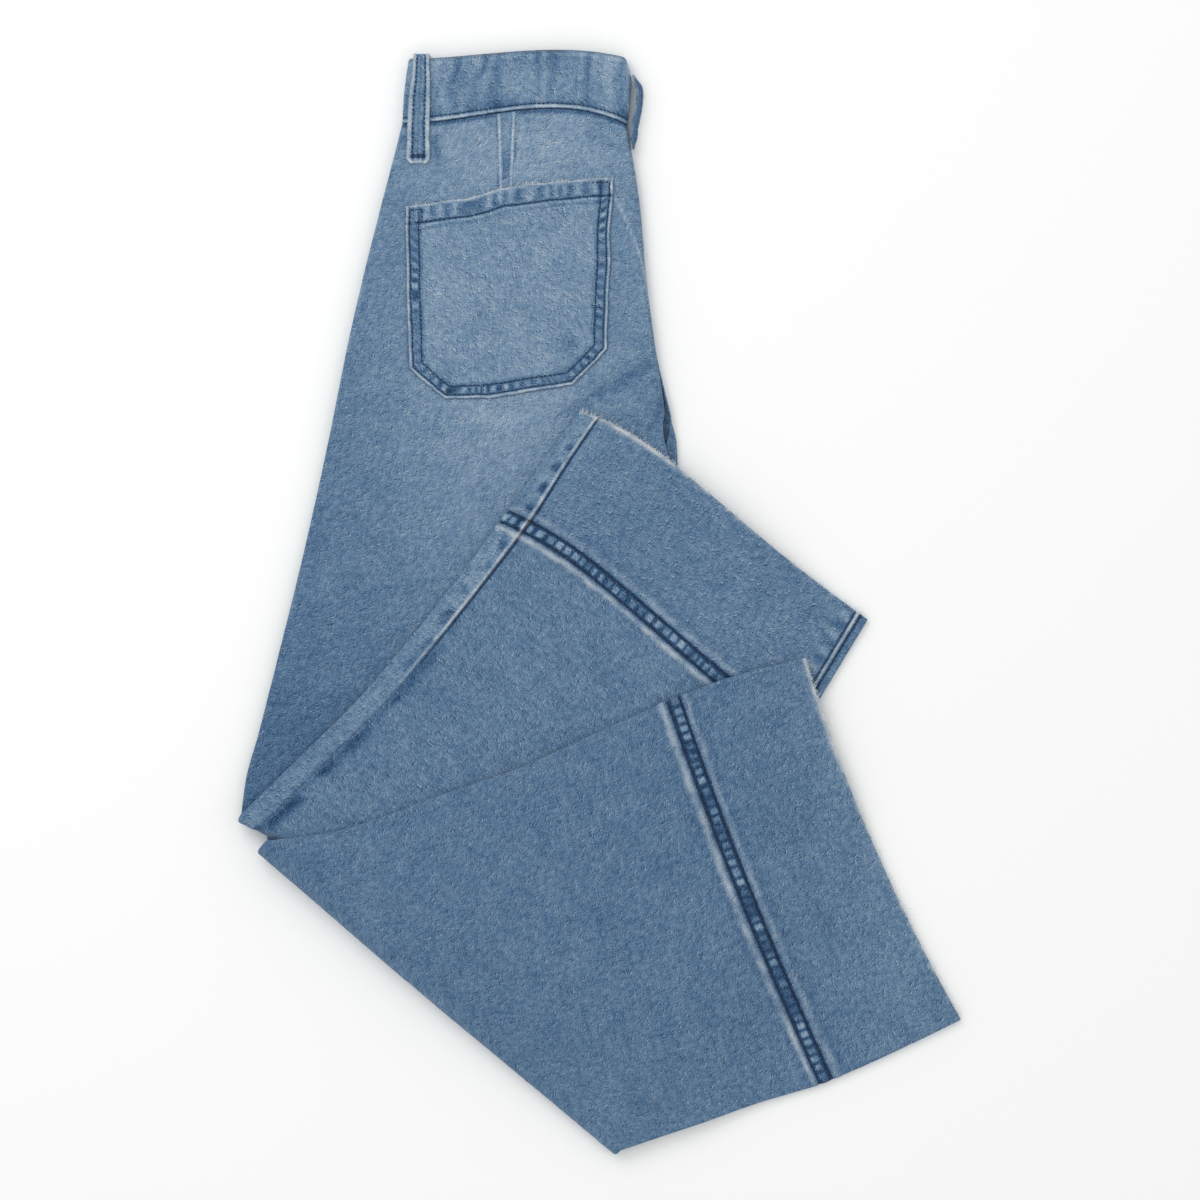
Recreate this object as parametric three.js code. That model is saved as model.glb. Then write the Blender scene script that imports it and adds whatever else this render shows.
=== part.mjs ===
// A pair of high-waisted, wide-legged stretch denim jeans, folded for a shelf.
// The pair is folded in half along its centre seams with the back outside, so the left half lies on
// the right half. Then both legs are turned up at the knee and fanned: first the left leg, front side
// up, then the right leg over everything, back side up.
// Units are millimetres, +Z is up, and +Y points to the waistband.

import * as THREE from "three";

// ---- cloth and layers ----
const WALL = 1.2; // one layer of denim
const GAP = 0.3; // between neighbouring pieces
const HALF_LEG = 1.5; // from the middle of a flattened leg to the middle of either wall
const LEG = 2 * HALF_LEG + WALL; // flattened leg, outside to outside
const LAYER = LEG + GAP; // from one flattened leg to the next one on top of it
const EDGE = HALF_LEG + WALL / 2; // from a leg's folded edge to where its walls run flat
const RIGHT_LEG_Z = LEG / 2; // middle of the right leg, which lies on the surface
const LEFT_LEG_Z = RIGHT_LEG_Z + LAYER; // middle of the left leg on top of it
const TRUNK_MIDDLE = (RIGHT_LEG_Z + LEFT_LEG_Z) / 2; // where the two halves meet at the centre back

// ---- what a maker cuts ----
const OUTSEAM_RETURN = 17; // the wide back panel is carried round onto the front at the outseam
const INSEAM_RETURN = 10; // and at the inseam
const BAND_WALL = 2; // folded waistband
const POCKET_WALL = 1;
const LOOP_WIDTH = 15.5;
const LOOP_WALL = 1;
const CLEARANCE = 0.5; // between a belt loop and the waistband it goes round

// ---- the hips lie higher than the legs, by the pocket underneath ----
const HIP_RISE = POCKET_WALL + GAP;
const RISE_FROM = 95; // y where the legs start to rise
const RISE_TO = 145; // y where the hips are fully raised

// ---- how a leg drapes over the edge of what is beneath it ----
const DRAPE_START = 32; // it stays level this far past the edge
const DRAPE_END = 108; // and has come down a layer this far past it
const FLAP_SLACK = 1.2; // air between the two turned legs
const ROLL_LIFT = 2; // a turned leg stands this much higher at its fold
const ROLL_REACH = 18; // and settles over about this distance

// ---- edges of the folded legs in plan: pairs of points on the outseam and the inseam edge ----
// Each run goes from the waist seam down to the knee fold, or from the knee fold to the hem. The third
// number bows the line between the two points sideways, towards the waist or the hem when positive.
const CROTCH = 4; // index of the pair at the crotch, where the centre back fold ends
const KNEE = 9; // index of the pair just above the knee folds, on one line in both legs
const LEFT_TRUNK = [
  [[-146, 354], [20, 353], 12],
  [[-160, 300], [29, 298], 0],
  [[-174, 245], [34, 243], 0],
  [[-187, 188], [41, 188], 0],
  [[-196, 143], [48, 143], 0],
  [[-204, 104], [52, 104], 0],
  [[-220, 33], [67, 25], 0],
  [[-238, -40], [72, -60], 0],
  [[-252, -95], [66, -140], 0],
  [[-261, -127], [50, -232], 0],
  [[-265, -156], [23, -298], 0],
];
const RIGHT_TRUNK = [
  [[-145, 354], [20, 353], 12],
  [[-158, 300], [29, 298], 0],
  [[-172, 245], [34, 243], 0],
  [[-185, 188], [41, 188], 0],
  [[-193, 143], [51, 143], 0],
  [[-201, 104], [57, 104], 0],
  [[-217, 33], [69, 25], 0],
  [[-231, -40], [75, -60], 0],
  [[-240, -95], [69, -140], 0],
  [[-245, -133], [56, -234], 0],
  [[-247, -153], [42, -320], 0],
  [[-246, -175], [15, -404], 0],
];
const LEFT_FLAP = [
  [[-265, -156], [23, -298], 0],
  [[-221, -113], [48, -257], 2],
  [[-175, -67], [78, -208], 5],
  [[-130, -13], [107, -161], 7],
  [[-95, 32], [128, -127], 8],
  [[-71, 64], [145, -99], 8],
  [[-43, 104], [172, -55], 9],
  [[-15, 142], [198, -12], 9],
];
const RIGHT_FLAP = [
  [[-246, -175], [15, -404], 0],
  [[-190, -167], [48, -393], 0],
  [[-130, -146], [81, -382], -2],
  [[-60, -121], [115, -370], -4],
  [[0, -94], [142, -362], -5],
  [[54, -70], [167, -354], -4],
  [[100, -53], [215, -333], -7],
  [[151, -40], [267, -308], -8],
];
const HEM_SEAM = 5; // index of the pair where the hem band is sewn on
const BAND_RUN = [
  [[-146, 354], [20, 353], 12],
  [[-145, 372], [22, 370], 10],
  [[-143, 390], [23, 388], 8],
  [[-141, 402], [19, 403], 6],
];

// ---- colours ----
const DENIM = "#5d7891";
const DENIM_WORN = "#7590a8";
const DENIM_DARK = "#4f6a84";

const denim = (color) => new THREE.MeshStandardMaterial({ color, roughness: 0.9, metalness: 0 });
const smooth = (a, b, x) => THREE.MathUtils.smoothstep(x, a, b);
const mix = THREE.MathUtils.lerp;

// =====================================================================================
// Plan: runs of station lines
// =====================================================================================

// A run of station lines. line(u, v) gives the plan point at station u, counted in pairs, and at v
// across it from the outseam edge (0) to the inseam edge (1). The lines' bow rises as v to the power
// rise and falls as (1 - v) to the power fall.
function makeRun(pairs, rise, fall) {
  const last = pairs.length - 1;
  const bowShape = (v) => v ** rise * (1 - v) ** fall;
  const peak = rise / (rise + fall);
  const outseam = new THREE.SplineCurve(pairs.map(([o]) => new THREE.Vector2(...o)));
  const inseam = new THREE.SplineCurve(pairs.map(([, i]) => new THREE.Vector2(...i)));
  const bows = new THREE.SplineCurve(pairs.map(([, , bow], k) => new THREE.Vector2(k, bow)));
  return {
    last,
    ends: (u) => [outseam.getPoint(u / last), inseam.getPoint(u / last)],
    width(u) {
      const [o, i] = this.ends(u);
      return o.distanceTo(i);
    },
    line(u, v) {
      const [o, i] = this.ends(u);
      const along = i.clone().sub(o).normalize();
      const bow = bows.getPoint(u / last).y * bowShape(THREE.MathUtils.clamp(v, 0, 1)) / bowShape(peak);
      return o.lerp(i, v).add(new THREE.Vector2(-along.y, along.x).multiplyScalar(bow));
    },
  };
}

const leftTrunk = makeRun(LEFT_TRUNK, 2, 1);
const rightTrunk = makeRun(RIGHT_TRUNK, 2, 1);
const leftFlap = makeRun(LEFT_FLAP, 1, 3);
const rightFlap = makeRun(RIGHT_FLAP, 1, 1);
const band = makeRun(BAND_RUN, 2, 1);

// The outline of a run as a closed list of plan points.
function outline(run, steps = 24) {
  const count = Array.from({ length: steps + 1 }, (_, k) => (run.last * k) / steps);
  return [...count.map((u) => run.line(u, 0)), ...count.reverse().map((u) => run.line(u, 1))];
}

// How far a plan point lies outside an outline, and 0 inside it.
function distanceOutside(points, p) {
  let nearest = Infinity;
  let inside = false;
  for (let k = 0, j = points.length - 1; k < points.length; j = k++) {
    const a = points[j];
    const b = points[k];
    const ab = b.clone().sub(a);
    const t = THREE.MathUtils.clamp(p.clone().sub(a).dot(ab) / ab.lengthSq(), 0, 1);
    nearest = Math.min(nearest, p.distanceTo(a.clone().addScaledVector(ab, t)));
    const crosses = a.y > p.y !== b.y > p.y;
    if (crosses && p.x < a.x + ((p.y - a.y) / (b.y - a.y)) * (b.x - a.x)) inside = !inside;
  }
  return inside ? 0 : nearest;
}

// =====================================================================================
// Heights
// =====================================================================================

const leftTrunkOutline = outline(leftTrunk);
const rightTrunkOutline = outline(rightTrunk);
const leftFlapOutline = outline(leftFlap);

const hipRise = (p) => HIP_RISE * smooth(RISE_FROM, RISE_TO, p.y);
const cover = (points, p) => 1 - smooth(DRAPE_START, DRAPE_END, distanceOutside(points, p));

function rollLift(trunk, p) {
  const [a, b] = trunk.ends(trunk.last);
  const along = b.clone().sub(a).normalize();
  const away = Math.abs(p.clone().sub(a).cross(along));
  return ROLL_LIFT * Math.exp(-((away / ROLL_REACH) ** 2));
}

const rightTrunkZ = (p) => RIGHT_LEG_Z + hipRise(p);
const leftTrunkZ = (p) => LEFT_LEG_Z + hipRise(p);

function leftFlapZ(p) {
  const under = LAYER * cover(rightTrunkOutline, p) + (LAYER + hipRise(p)) * cover(leftTrunkOutline, p);
  return RIGHT_LEG_Z + under + rollLift(leftTrunk, p);
}

function rightFlapZ(p) {
  const under = LAYER * (cover(rightTrunkOutline, p) + cover(leftTrunkOutline, p));
  const flap = cover(leftFlapOutline, p);
  const lift = LAYER + FLAP_SLACK + rollLift(leftTrunk, p);
  return RIGHT_LEG_Z + under + flap * lift + rollLift(rightTrunk, p);
}

// =====================================================================================
// Placing a leg's section: w runs across from the outseam edge, r is the height over the middle
// =====================================================================================

const LEFT = { trunk: leftTrunk, flap: leftFlap, low: leftTrunkZ, high: leftFlapZ, back: 1 };
const RIGHT = { trunk: rightTrunk, flap: rightFlap, low: rightTrunkZ, high: rightFlapZ, back: -1 };

// A station of a leg. turn is 0 in the trunk, pi in the flap, and goes from 0 to pi round the fold.
function station(leg, turn, u) {
  const run = turn < Math.PI ? leg.trunk : leg.flap;
  const [a, b] = leg.trunk.ends(leg.trunk.last);
  const out = new THREE.Vector2(b.y - a.y, a.x - b.x).normalize();
  const width = run.width(u);
  const place = (w, r) => {
    const p = run.line(u, w / width);
    const low = leg.low(p);
    const radius = (leg.high(p) - low) / 2;
    p.addScaledVector(out, (radius - r) * Math.sin(turn));
    return new THREE.Vector3(p.x, p.y, low + radius - (radius - r) * Math.cos(turn));
  };
  return { width, place, u, turn };
}

const steps = (from, to, count) => Array.from({ length: count + 1 }, (_, k) => mix(from, to, k / count));
const inFlap = (leg, from, to, count) => steps(from, to, count).map((u) => station(leg, Math.PI, u));
function roundFold(leg, count) {
  const turns = steps(0, Math.PI, count).slice(1, -1);
  return turns.map((turn) => station(leg, turn, leg.trunk.last));
}

// =====================================================================================
// Sections: the middle line of a wall, as [w, r] points
// =====================================================================================

function arc(w, r, radius, from, to, count) {
  return steps(from, to, count).map((degrees) => {
    const angle = THREE.MathUtils.degToRad(degrees);
    return [w + radius * Math.cos(angle), r + radius * Math.sin(angle)];
  });
}

const flat = (from, to, r, count) => steps(from, to, count).map((w) => [w, r]);

const ACROSS = 12; // spans across a back panel
const EDGE_SPANS = 3; // round a leg's folded edge
const CENTRE_SPANS = 5; // round the centre back, as many as on the inseam side of a leg
const CENTRE_SEAM_ANGLE = 2.5; // degrees left for the centre back seam

// The back panel, on top at r > 0: return, outseam edge, flat back, then the inseam side. Above the
// crotch that side is half of the centre back fold, and below it the leg's own edge with its return.
function backSection({ width, u, turn }) {
  const below = turn > 0 ? 1 : smooth(CROTCH, CROTCH + 1, u);
  const centreRadius = HALF_LEG + LAYER / 2;
  const returnEnd = OUTSEAM_RETURN - GAP / 2;
  const outseamSide = [
    [returnEnd, -HALF_LEG],
    [returnEnd / 2, -HALF_LEG],
    ...arc(EDGE, 0, HALF_LEG, 270, 90, EDGE_SPANS),
  ];
  const [centreW, centreR] = [width - WALL / 2 - centreRadius, HALF_LEG - centreRadius];
  const centreBack = arc(centreW, centreR, centreRadius, 90, CENTRE_SEAM_ANGLE, CENTRE_SPANS);
  const inseamSide = [
    ...arc(width - EDGE, 0, HALF_LEG, 90, -90, EDGE_SPANS),
    [width - (INSEAM_RETURN + EDGE) / 2, -HALF_LEG],
    [width - INSEAM_RETURN + GAP / 2, -HALF_LEG],
  ];
  const side = centreBack.map(([w, r], k) => [
    mix(w, inseamSide[k][0], below),
    mix(r, inseamSide[k][1], below),
  ]);
  return [...outseamSide, ...flat(EDGE, side[0][0], HALF_LEG, ACROSS).slice(1, -1), ...side];
}

// The front panel, opposite the back, between its two returns.
const frontSection = ({ width }) =>
  flat(OUTSEAM_RETURN + GAP / 2, width - INSEAM_RETURN - GAP / 2, -HALF_LEG, ACROSS);

// The hem band, all round the leg.
function hemSection({ width }) {
  const top = flat(EDGE, width - EDGE, HALF_LEG, ACROSS).slice(1, -1);
  const under = [
    [width - (INSEAM_RETURN + EDGE) / 2, -HALF_LEG],
    ...flat(width - INSEAM_RETURN, OUTSEAM_RETURN, -HALF_LEG, ACROSS),
    [OUTSEAM_RETURN / 2, -HALF_LEG],
  ];
  return [
    ...arc(EDGE, 0, HALF_LEG, 270, 90, EDGE_SPANS),
    ...top,
    ...arc(width - EDGE, 0, HALF_LEG, 90, -90, EDGE_SPANS),
    ...under,
  ];
}

// Moves each point of a section sideways by distance, to its left when distance is positive.
function offset(section, distance, closed = false) {
  const n = section.length;
  return section.map(([w, r], k) => {
    const before = section[closed ? (k + n - 1) % n : Math.max(k - 1, 0)];
    const after = section[closed ? (k + 1) % n : Math.min(k + 1, n - 1)];
    const into = new THREE.Vector2(w - before[0], r - before[1]).normalize();
    const from = new THREE.Vector2(after[0] - w, after[1] - r).normalize();
    const along = into.clone().add(from).normalize();
    const mitre = distance / Math.max(0.5, along.dot(from.lengthSq() > 0 ? from : into));
    return [w - along.y * mitre, r + along.x * mitre];
  });
}

// =====================================================================================
// Solids
// =====================================================================================

// A closed mesh from vertices and faces, each face a list of three or four vertex numbers. The faces
// are turned round if they point inwards.
function solid(vertices, faces) {
  const split = ([a, b, c, d]) => (d === undefined ? [[a, b, c]] : [[a, b, c], [a, c, d]]);
  const triangles = faces.flatMap(split);
  const volume = triangles.reduce((sum, [a, b, c]) => {
    const cross = vertices[b].clone().cross(vertices[c]);
    return sum + vertices[a].dot(cross) / 6;
  }, 0);
  const index = triangles.flatMap(([a, b, c]) => (volume > 0 ? [a, b, c] : [a, c, b]));
  const geometry = new THREE.BufferGeometry().setFromPoints(vertices);
  geometry.setIndex(index);
  geometry.computeVertexNormals();
  return geometry;
}

// A wall between two grids of points, row by row. Each row is open, or a closed ring.
function wall(outer, inner, closed = false) {
  const rows = outer.length;
  const columns = outer[0].length;
  const vertices = [...outer.flat(), ...inner.flat()];
  const at = (side, row, column) => side * rows * columns + row * columns + (column % columns);
  const faces = [];
  const spans = closed ? columns : columns - 1;
  for (let row = 0; row < rows - 1; row++) {
    const next = row + 1;
    for (let column = 0; column < spans; column++) {
      const beside = column + 1;
      faces.push([at(0, row, column), at(0, row, beside), at(0, next, beside), at(0, next, column)]);
      faces.push([at(1, row, column), at(1, next, column), at(1, next, beside), at(1, row, beside)]);
    }
    if (closed) continue;
    const end = columns - 1;
    faces.push([at(0, row, 0), at(0, next, 0), at(1, next, 0), at(1, row, 0)]);
    faces.push([at(0, row, end), at(1, row, end), at(1, next, end), at(0, next, end)]);
  }
  const end = rows - 1;
  for (let column = 0; column < spans; column++) {
    faces.push([at(0, 0, column), at(1, 0, column), at(1, 0, column + 1), at(0, 0, column + 1)]);
    faces.push([at(0, end, column), at(0, end, column + 1), at(1, end, column + 1), at(1, end, column)]);
  }
  return solid(vertices, faces);
}

// A solid through closed rings of points, with its ends filled in. flatLoop is the ring drawn flat.
function loft(rings, flatLoop) {
  const count = rings[0].length;
  const vertices = rings.flat();
  const faces = [];
  for (let row = 0; row < rings.length - 1; row++) {
    for (let k = 0; k < count; k++) {
      const next = (k + 1) % count;
      faces.push([row * count + k, row * count + next, (row + 1) * count + next, (row + 1) * count + k]);
    }
  }
  const cap = THREE.ShapeUtils.triangulateShape(flatLoop.map(([x, y]) => new THREE.Vector2(x, y)), []);
  const lastRing = (rings.length - 1) * count;
  for (const [a, b, c] of cap) {
    faces.push([c, b, a]);
    faces.push([lastRing + a, lastRing + b, lastRing + c]);
  }
  return solid(vertices, faces);
}

// One panel of a leg along its stations.
function panel(leg, stations, section, closed = false) {
  const grid = (distance) =>
    stations.map((s) => offset(section(s), distance, closed).map(([w, r]) => s.place(w, r * leg.back)));
  return wall(grid(WALL / 2), grid(-WALL / 2), closed);
}

// =====================================================================================
// The pieces
// =====================================================================================

// Pieces that meet at a seam share these stations, so their edges run side by side.
const SEAM = 0.01; // room left at a cross seam, as a part of the way from one pair to the next
const HIPS = steps(SEAM, CROTCH, 6);
const CROTCH_FORK = steps(CROTCH, CROTCH + 1, 3).slice(1);
const THIGH = steps(CROTCH + 1, KNEE, 4).slice(1);
const KNEE_SPANS = 3;
const FOLD_SPANS = 5;
const SHIN_SPANS = 9;
const HEM_SPANS = 4;

const atTrunk = (leg, list) => list.map((u) => station(leg, 0, u));
const kneeToSeam = (leg) => [
  ...atTrunk(leg, steps(KNEE, leg.trunk.last, KNEE_SPANS).slice(1)),
  ...roundFold(leg, FOLD_SPANS),
  ...inFlap(leg, 0, HEM_SEAM - SEAM, SHIN_SPANS),
];

function back(leg) {
  const upper = atTrunk(leg, [...HIPS, ...CROTCH_FORK, ...THIGH]);
  return panel(leg, [...upper, ...kneeToSeam(leg)], backSection);
}

function front(leg) {
  const start = atTrunk(leg, [KNEE + 2 * SEAM]);
  return panel(leg, [...start, ...kneeToSeam(leg)], frontSection);
}

const hem = (leg) => panel(leg, inFlap(leg, HEM_SEAM, leg.flap.last, HEM_SPANS), hemSection, true);

// Both fronts inside the trunk, as one rounded solid that is grooved where its two layers meet.
function hiddenLayers() {
  const bottom = WALL + GAP;
  const top = 2 * TRUNK_MIDDLE - bottom;
  const corner = 2;
  const groove = 4;
  const lowerPoints = 3; // of a lobe, below its groove
  const ring = (u, width, shift) => {
    const left = OUTSEAM_RETURN + 2 * GAP;
    const lowerLeft = left + shift;
    const right = width - INSEAM_RETURN - 2 * GAP;
    const lobe = (edge, side) => [
      [edge - side * corner, bottom],
      [edge, bottom + corner / 2],
      [edge, TRUNK_MIDDLE - corner / 4],
      [edge - side * groove, TRUNK_MIDDLE],
      [edge, TRUNK_MIDDLE + corner / 4],
      [edge, top - corner / 2],
      [edge - side * corner, top],
    ];
    const radius = TRUNK_MIDDLE - bottom;
    const centreW = width - WALL / 2 - HALF_LEG - LAYER / 2;
    const centreFront = arc(centreW, TRUNK_MIDDLE, radius, -90, 90, 2 * lowerPoints);
    const below = smooth(CROTCH - 1, CROTCH, u);
    const rightSide = lobe(right, 1).map(([w, z], k) => [
      mix(centreFront[k][0], w, below),
      mix(centreFront[k][1], z, below),
    ]);
    const leftSide = lobe(left, -1).map(([w, z], k) => [w + (k < lowerPoints ? shift : 0), z]);
    leftSide[lowerPoints][0] = lowerLeft + groove;
    return [...rightSide, ...leftSide.reverse()];
  };
  const stations = [2 * SEAM, ...HIPS.slice(1), ...CROTCH_FORK, ...THIGH];
  const loops = stations.map((u) => {
    const shift = leftTrunk.ends(u)[0].distanceTo(rightTrunk.ends(u)[0]);
    return ring(u, leftTrunk.width(u), shift);
  });
  const rings = loops.map((loop, k) =>
    loop.map(([w, z]) => {
      const p = leftTrunk.line(stations[k], w / leftTrunk.width(stations[k]));
      return new THREE.Vector3(p.x, p.y, z + hipRise(p));
    }),
  );
  return loft(rings, loops[0]);
}

// The waistband: one ring that runs along the backs, round the centre back, and inside along the fronts.
const BAND_BOTTOM = LOOP_WALL + CLEARANCE;
const BAND_TOP = BAND_BOTTOM + 4 * BAND_WALL + 3 * GAP;
const BAND_SPANS = 9; // along each of its four layers
const BAND_BEND_SPANS = 8; // round the centre back
const BAND_ROWS = 3;

function waistband() {
  const pitch = BAND_WALL + GAP;
  const lowest = BAND_BOTTOM + BAND_WALL / 2;
  const level = (layer) => lowest + layer * pitch;
  const section = (width) => {
    const left = BAND_WALL / 2 + pitch / 2;
    const centreBack = width - BAND_WALL / 2 - 1.5 * pitch;
    const centreFront = centreBack - pitch / 2;
    return [
      ...arc(left, level(2.5), pitch / 2, 270, 90, EDGE_SPANS),
      ...flat(left, centreBack, level(3), BAND_SPANS).slice(1, -1),
      ...arc(centreBack, level(1.5), 1.5 * pitch, 90, -90, BAND_BEND_SPANS),
      ...flat(centreBack, left, level(0), BAND_SPANS).slice(1, -1),
      ...arc(left, level(0.5), pitch / 2, 270, 90, EDGE_SPANS),
      ...flat(left, centreFront, level(1), BAND_SPANS).slice(1, -1),
      ...arc(centreFront, level(1.5), pitch / 2, -90, 90, EDGE_SPANS),
      ...flat(centreFront, left, level(2), BAND_SPANS).slice(1, -1),
    ];
  };
  const stations = steps(2 * SEAM, band.last, BAND_ROWS);
  const grid = (distance) =>
    stations.map((u) => {
      const width = band.width(u);
      return offset(section(width), distance, true).map(([w, z]) => {
        const p = band.line(u, THREE.MathUtils.clamp(w / width, 0, 1));
        return new THREE.Vector3(p.x, p.y, z);
      });
    });
  return wall(grid(BAND_WALL / 2), grid(-BAND_WALL / 2), true);
}

// A strip of cloth that follows a path of [a, b] points, and is as wide as from one value to the other.
// point(across, a, b) places it.
function strip(path, thickness, from, to, point) {
  const grid = (distance) =>
    [from, to].map((across) => offset(path, distance).map(([a, b]) => point(across, a, b)));
  return wall(grid(thickness / 2), grid(-thickness / 2));
}

// A patch pocket, flat on the back panel, from its outline in plan.
const POCKET_OUTLINE = [
  [-144, 293],
  [-132, 293.5],
  [-99, 298.5],
  [-73, 306],
  [-50, 309],
  [-24, 312],
  [10, 314.5],
  [7.5, 255],
  [5, 187.5],
  [-20, 161],
  [-81, 151],
  [-114, 151],
  [-141.5, 173.5],
  [-143, 228],
];

function pocket(bottom) {
  const shape = new THREE.Shape(POCKET_OUTLINE.map(([x, y]) => new THREE.Vector2(x, y)));
  const geometry = new THREE.ExtrudeGeometry(shape, { depth: POCKET_WALL, bevelEnabled: false });
  return geometry.translate(0, 0, bottom);
}

// ---- belt loops ----
const TRUNK_TOP = 2 * TRUNK_MIDDLE + HIP_RISE; // top of the back panel at the hips
const SIDE_LOOP_X = -133.5; // middle of the two side loops
const LOOP_FOOT = 325; // y of the side loops' lower ends
const LOOP_TOP = 405.4; // y of their turn over the top of the band
const STEP_FROM = 349; // y where the upper loop leaves the panel
const STEP_TO = 354; // y where it lies on the band
const TURN_DOWN = 2; // how far a loop's end turns over the top of the band
const pointXYZ = (x, y, z) => new THREE.Vector3(x, y, z);

// A side loop along a path of [y, z] points.
function sideLoop(path) {
  return strip(path, LOOP_WALL, SIDE_LOOP_X - LOOP_WIDTH / 2, SIDE_LOOP_X + LOOP_WIDTH / 2, pointXYZ);
}

// The side loop on the upper half goes over the band, and is sewn to the panel below it.
function upperSideLoop() {
  const onPanel = TRUNK_TOP + GAP + LOOP_WALL / 2;
  const onBand = BAND_TOP + GAP + LOOP_WALL / 2;
  return sideLoop([
    [LOOP_FOOT, onPanel],
    [STEP_FROM, onPanel],
    [STEP_TO, onBand],
    [LOOP_TOP - TURN_DOWN, onBand],
    [LOOP_TOP - LOOP_WALL / 2, onBand - LOOP_WALL / 2],
    [LOOP_TOP, onBand - TURN_DOWN - LOOP_WALL / 2],
  ]);
}

// Its twin underneath lies on the surface.
function lowerSideLoop() {
  const flatZ = LOOP_WALL / 2;
  return sideLoop([
    [LOOP_FOOT, flatZ],
    [STEP_FROM, flatZ],
    [LOOP_TOP - TURN_DOWN, flatZ],
    [LOOP_TOP - LOOP_WALL / 2, flatZ + LOOP_WALL / 2],
    [LOOP_TOP, flatZ + TURN_DOWN],
  ]);
}

// The centre back loop stands off the centre back fold like a handle, seen on edge from above.
function centreBackLoop() {
  const path = [
    [24.2, 389],
    [27.2, 385],
    [28.7, 377],
    [28.4, 366],
    [26, 352],
    [24.6, 336],
  ];
  const upright = (z, x, y) => new THREE.Vector3(x, y, z);
  return strip(path, LOOP_WALL, BAND_BOTTOM + CLEARANCE, BAND_TOP - CLEARANCE, upright);
}

// =====================================================================================
// The object
// =====================================================================================

const pieces = {
  waistband: [waistband(), DENIM],
  back_left: [back(LEFT), DENIM_WORN],
  back_right: [back(RIGHT), DENIM],
  front_left: [front(LEFT), DENIM],
  front_right: [front(RIGHT), DENIM],
  hidden_layers: [hiddenLayers(), DENIM_DARK],
  hem_left: [hem(LEFT), DENIM],
  hem_right: [hem(RIGHT), DENIM],
  pocket_left: [pocket(TRUNK_TOP + GAP), DENIM_WORN],
  pocket_right: [pocket(0), DENIM_WORN],
  belt_loop_side_left: [upperSideLoop(), DENIM],
  belt_loop_side_right: [lowerSideLoop(), DENIM],
  belt_loop_back: [centreBackLoop(), DENIM],
};

const jeans = new THREE.Group();
for (const [name, [geometry, color]] of Object.entries(pieces)) {
  const mesh = new THREE.Mesh(geometry, denim(color));
  mesh.name = name;
  jeans.add(mesh);
}

// The origin is in the middle of the resting side.
const box = new THREE.Box3().setFromObject(jeans);
jeans.position.set(-(box.min.x + box.max.x) / 2, -(box.min.y + box.max.y) / 2, -box.min.z);

export default jeans;
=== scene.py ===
# %% [markdown]
# # A folded pair of wide-leg denim jeans
# The pair is folded in half along its centre seams with the back outside, so the left half lies on
# the right half. Both legs are then turned up at the knee and fanned out, the left leg first with its
# front side up, and the right leg over everything with its back side up.
#
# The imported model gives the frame: every piece below is laid where the frame has its solid.

# %% Load the frame
import math

import bmesh
import bpy
import numpy as np
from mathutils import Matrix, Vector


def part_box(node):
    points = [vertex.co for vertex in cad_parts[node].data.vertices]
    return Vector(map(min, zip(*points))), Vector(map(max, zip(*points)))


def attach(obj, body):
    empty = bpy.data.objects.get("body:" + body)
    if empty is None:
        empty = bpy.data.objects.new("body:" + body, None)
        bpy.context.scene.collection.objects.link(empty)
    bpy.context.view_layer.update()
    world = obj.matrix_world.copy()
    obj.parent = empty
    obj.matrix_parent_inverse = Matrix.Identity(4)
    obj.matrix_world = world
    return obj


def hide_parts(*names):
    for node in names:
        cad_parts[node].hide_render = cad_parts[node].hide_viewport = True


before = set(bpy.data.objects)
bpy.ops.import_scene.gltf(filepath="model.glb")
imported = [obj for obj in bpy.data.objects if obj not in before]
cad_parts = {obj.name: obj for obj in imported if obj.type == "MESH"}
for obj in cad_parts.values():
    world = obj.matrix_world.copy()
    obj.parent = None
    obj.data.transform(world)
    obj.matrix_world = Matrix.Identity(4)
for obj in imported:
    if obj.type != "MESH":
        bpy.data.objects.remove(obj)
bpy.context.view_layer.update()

# %% [markdown]
# ## Units and the drawing board
# A pattern cutter works in millimetres on a flat board. The numbers below are in those millimetres,
# and one function moves them to the frame, which is in metres. The left pocket is the reference mark.

# %% From the board to the frame
POCKET_LEFT_EDGE, POCKET_LOWEST = -144.0, 151.0
mark_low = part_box("pocket_left")[0]
BOARD = np.array([mark_low.x * 1000 - POCKET_LEFT_EDGE, mark_low.y * 1000 - POCKET_LOWEST, 0.0])


def to_frame(points):
    return (np.asarray(points, float) + BOARD) / 1000


print("board shift:", BOARD.round(2), "mm")

# %% [markdown]
# ## Cloth thickness and layers
# One layer of stretch denim is 1.2 mm. A leg pressed flat is two layers with a little air between
# them, and each leg lies 0.3 mm clear of the one beneath.

# %% Thickness
WALL, GAP, HALF_LEG = 1.2, 0.3, 1.5
LEG = 2 * HALF_LEG + WALL
LAYER = LEG + GAP
EDGE = HALF_LEG + WALL / 2
RIGHT_LEG_Z = LEG / 2
LEFT_LEG_Z = RIGHT_LEG_Z + LAYER
TRUNK_MIDDLE = (RIGHT_LEG_Z + LEFT_LEG_Z) / 2
OUTSEAM_RETURN, INSEAM_RETURN = 17.0, 10.0
BAND_WALL, POCKET_WALL, LOOP_WIDTH, LOOP_WALL = 2.0, 1.0, 15.5, 1.0
HIP_RISE = POCKET_WALL + GAP
TRUNK_TOP = 2 * TRUNK_MIDDLE + HIP_RISE
print("flattened leg:", LEG, "mm")

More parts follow.
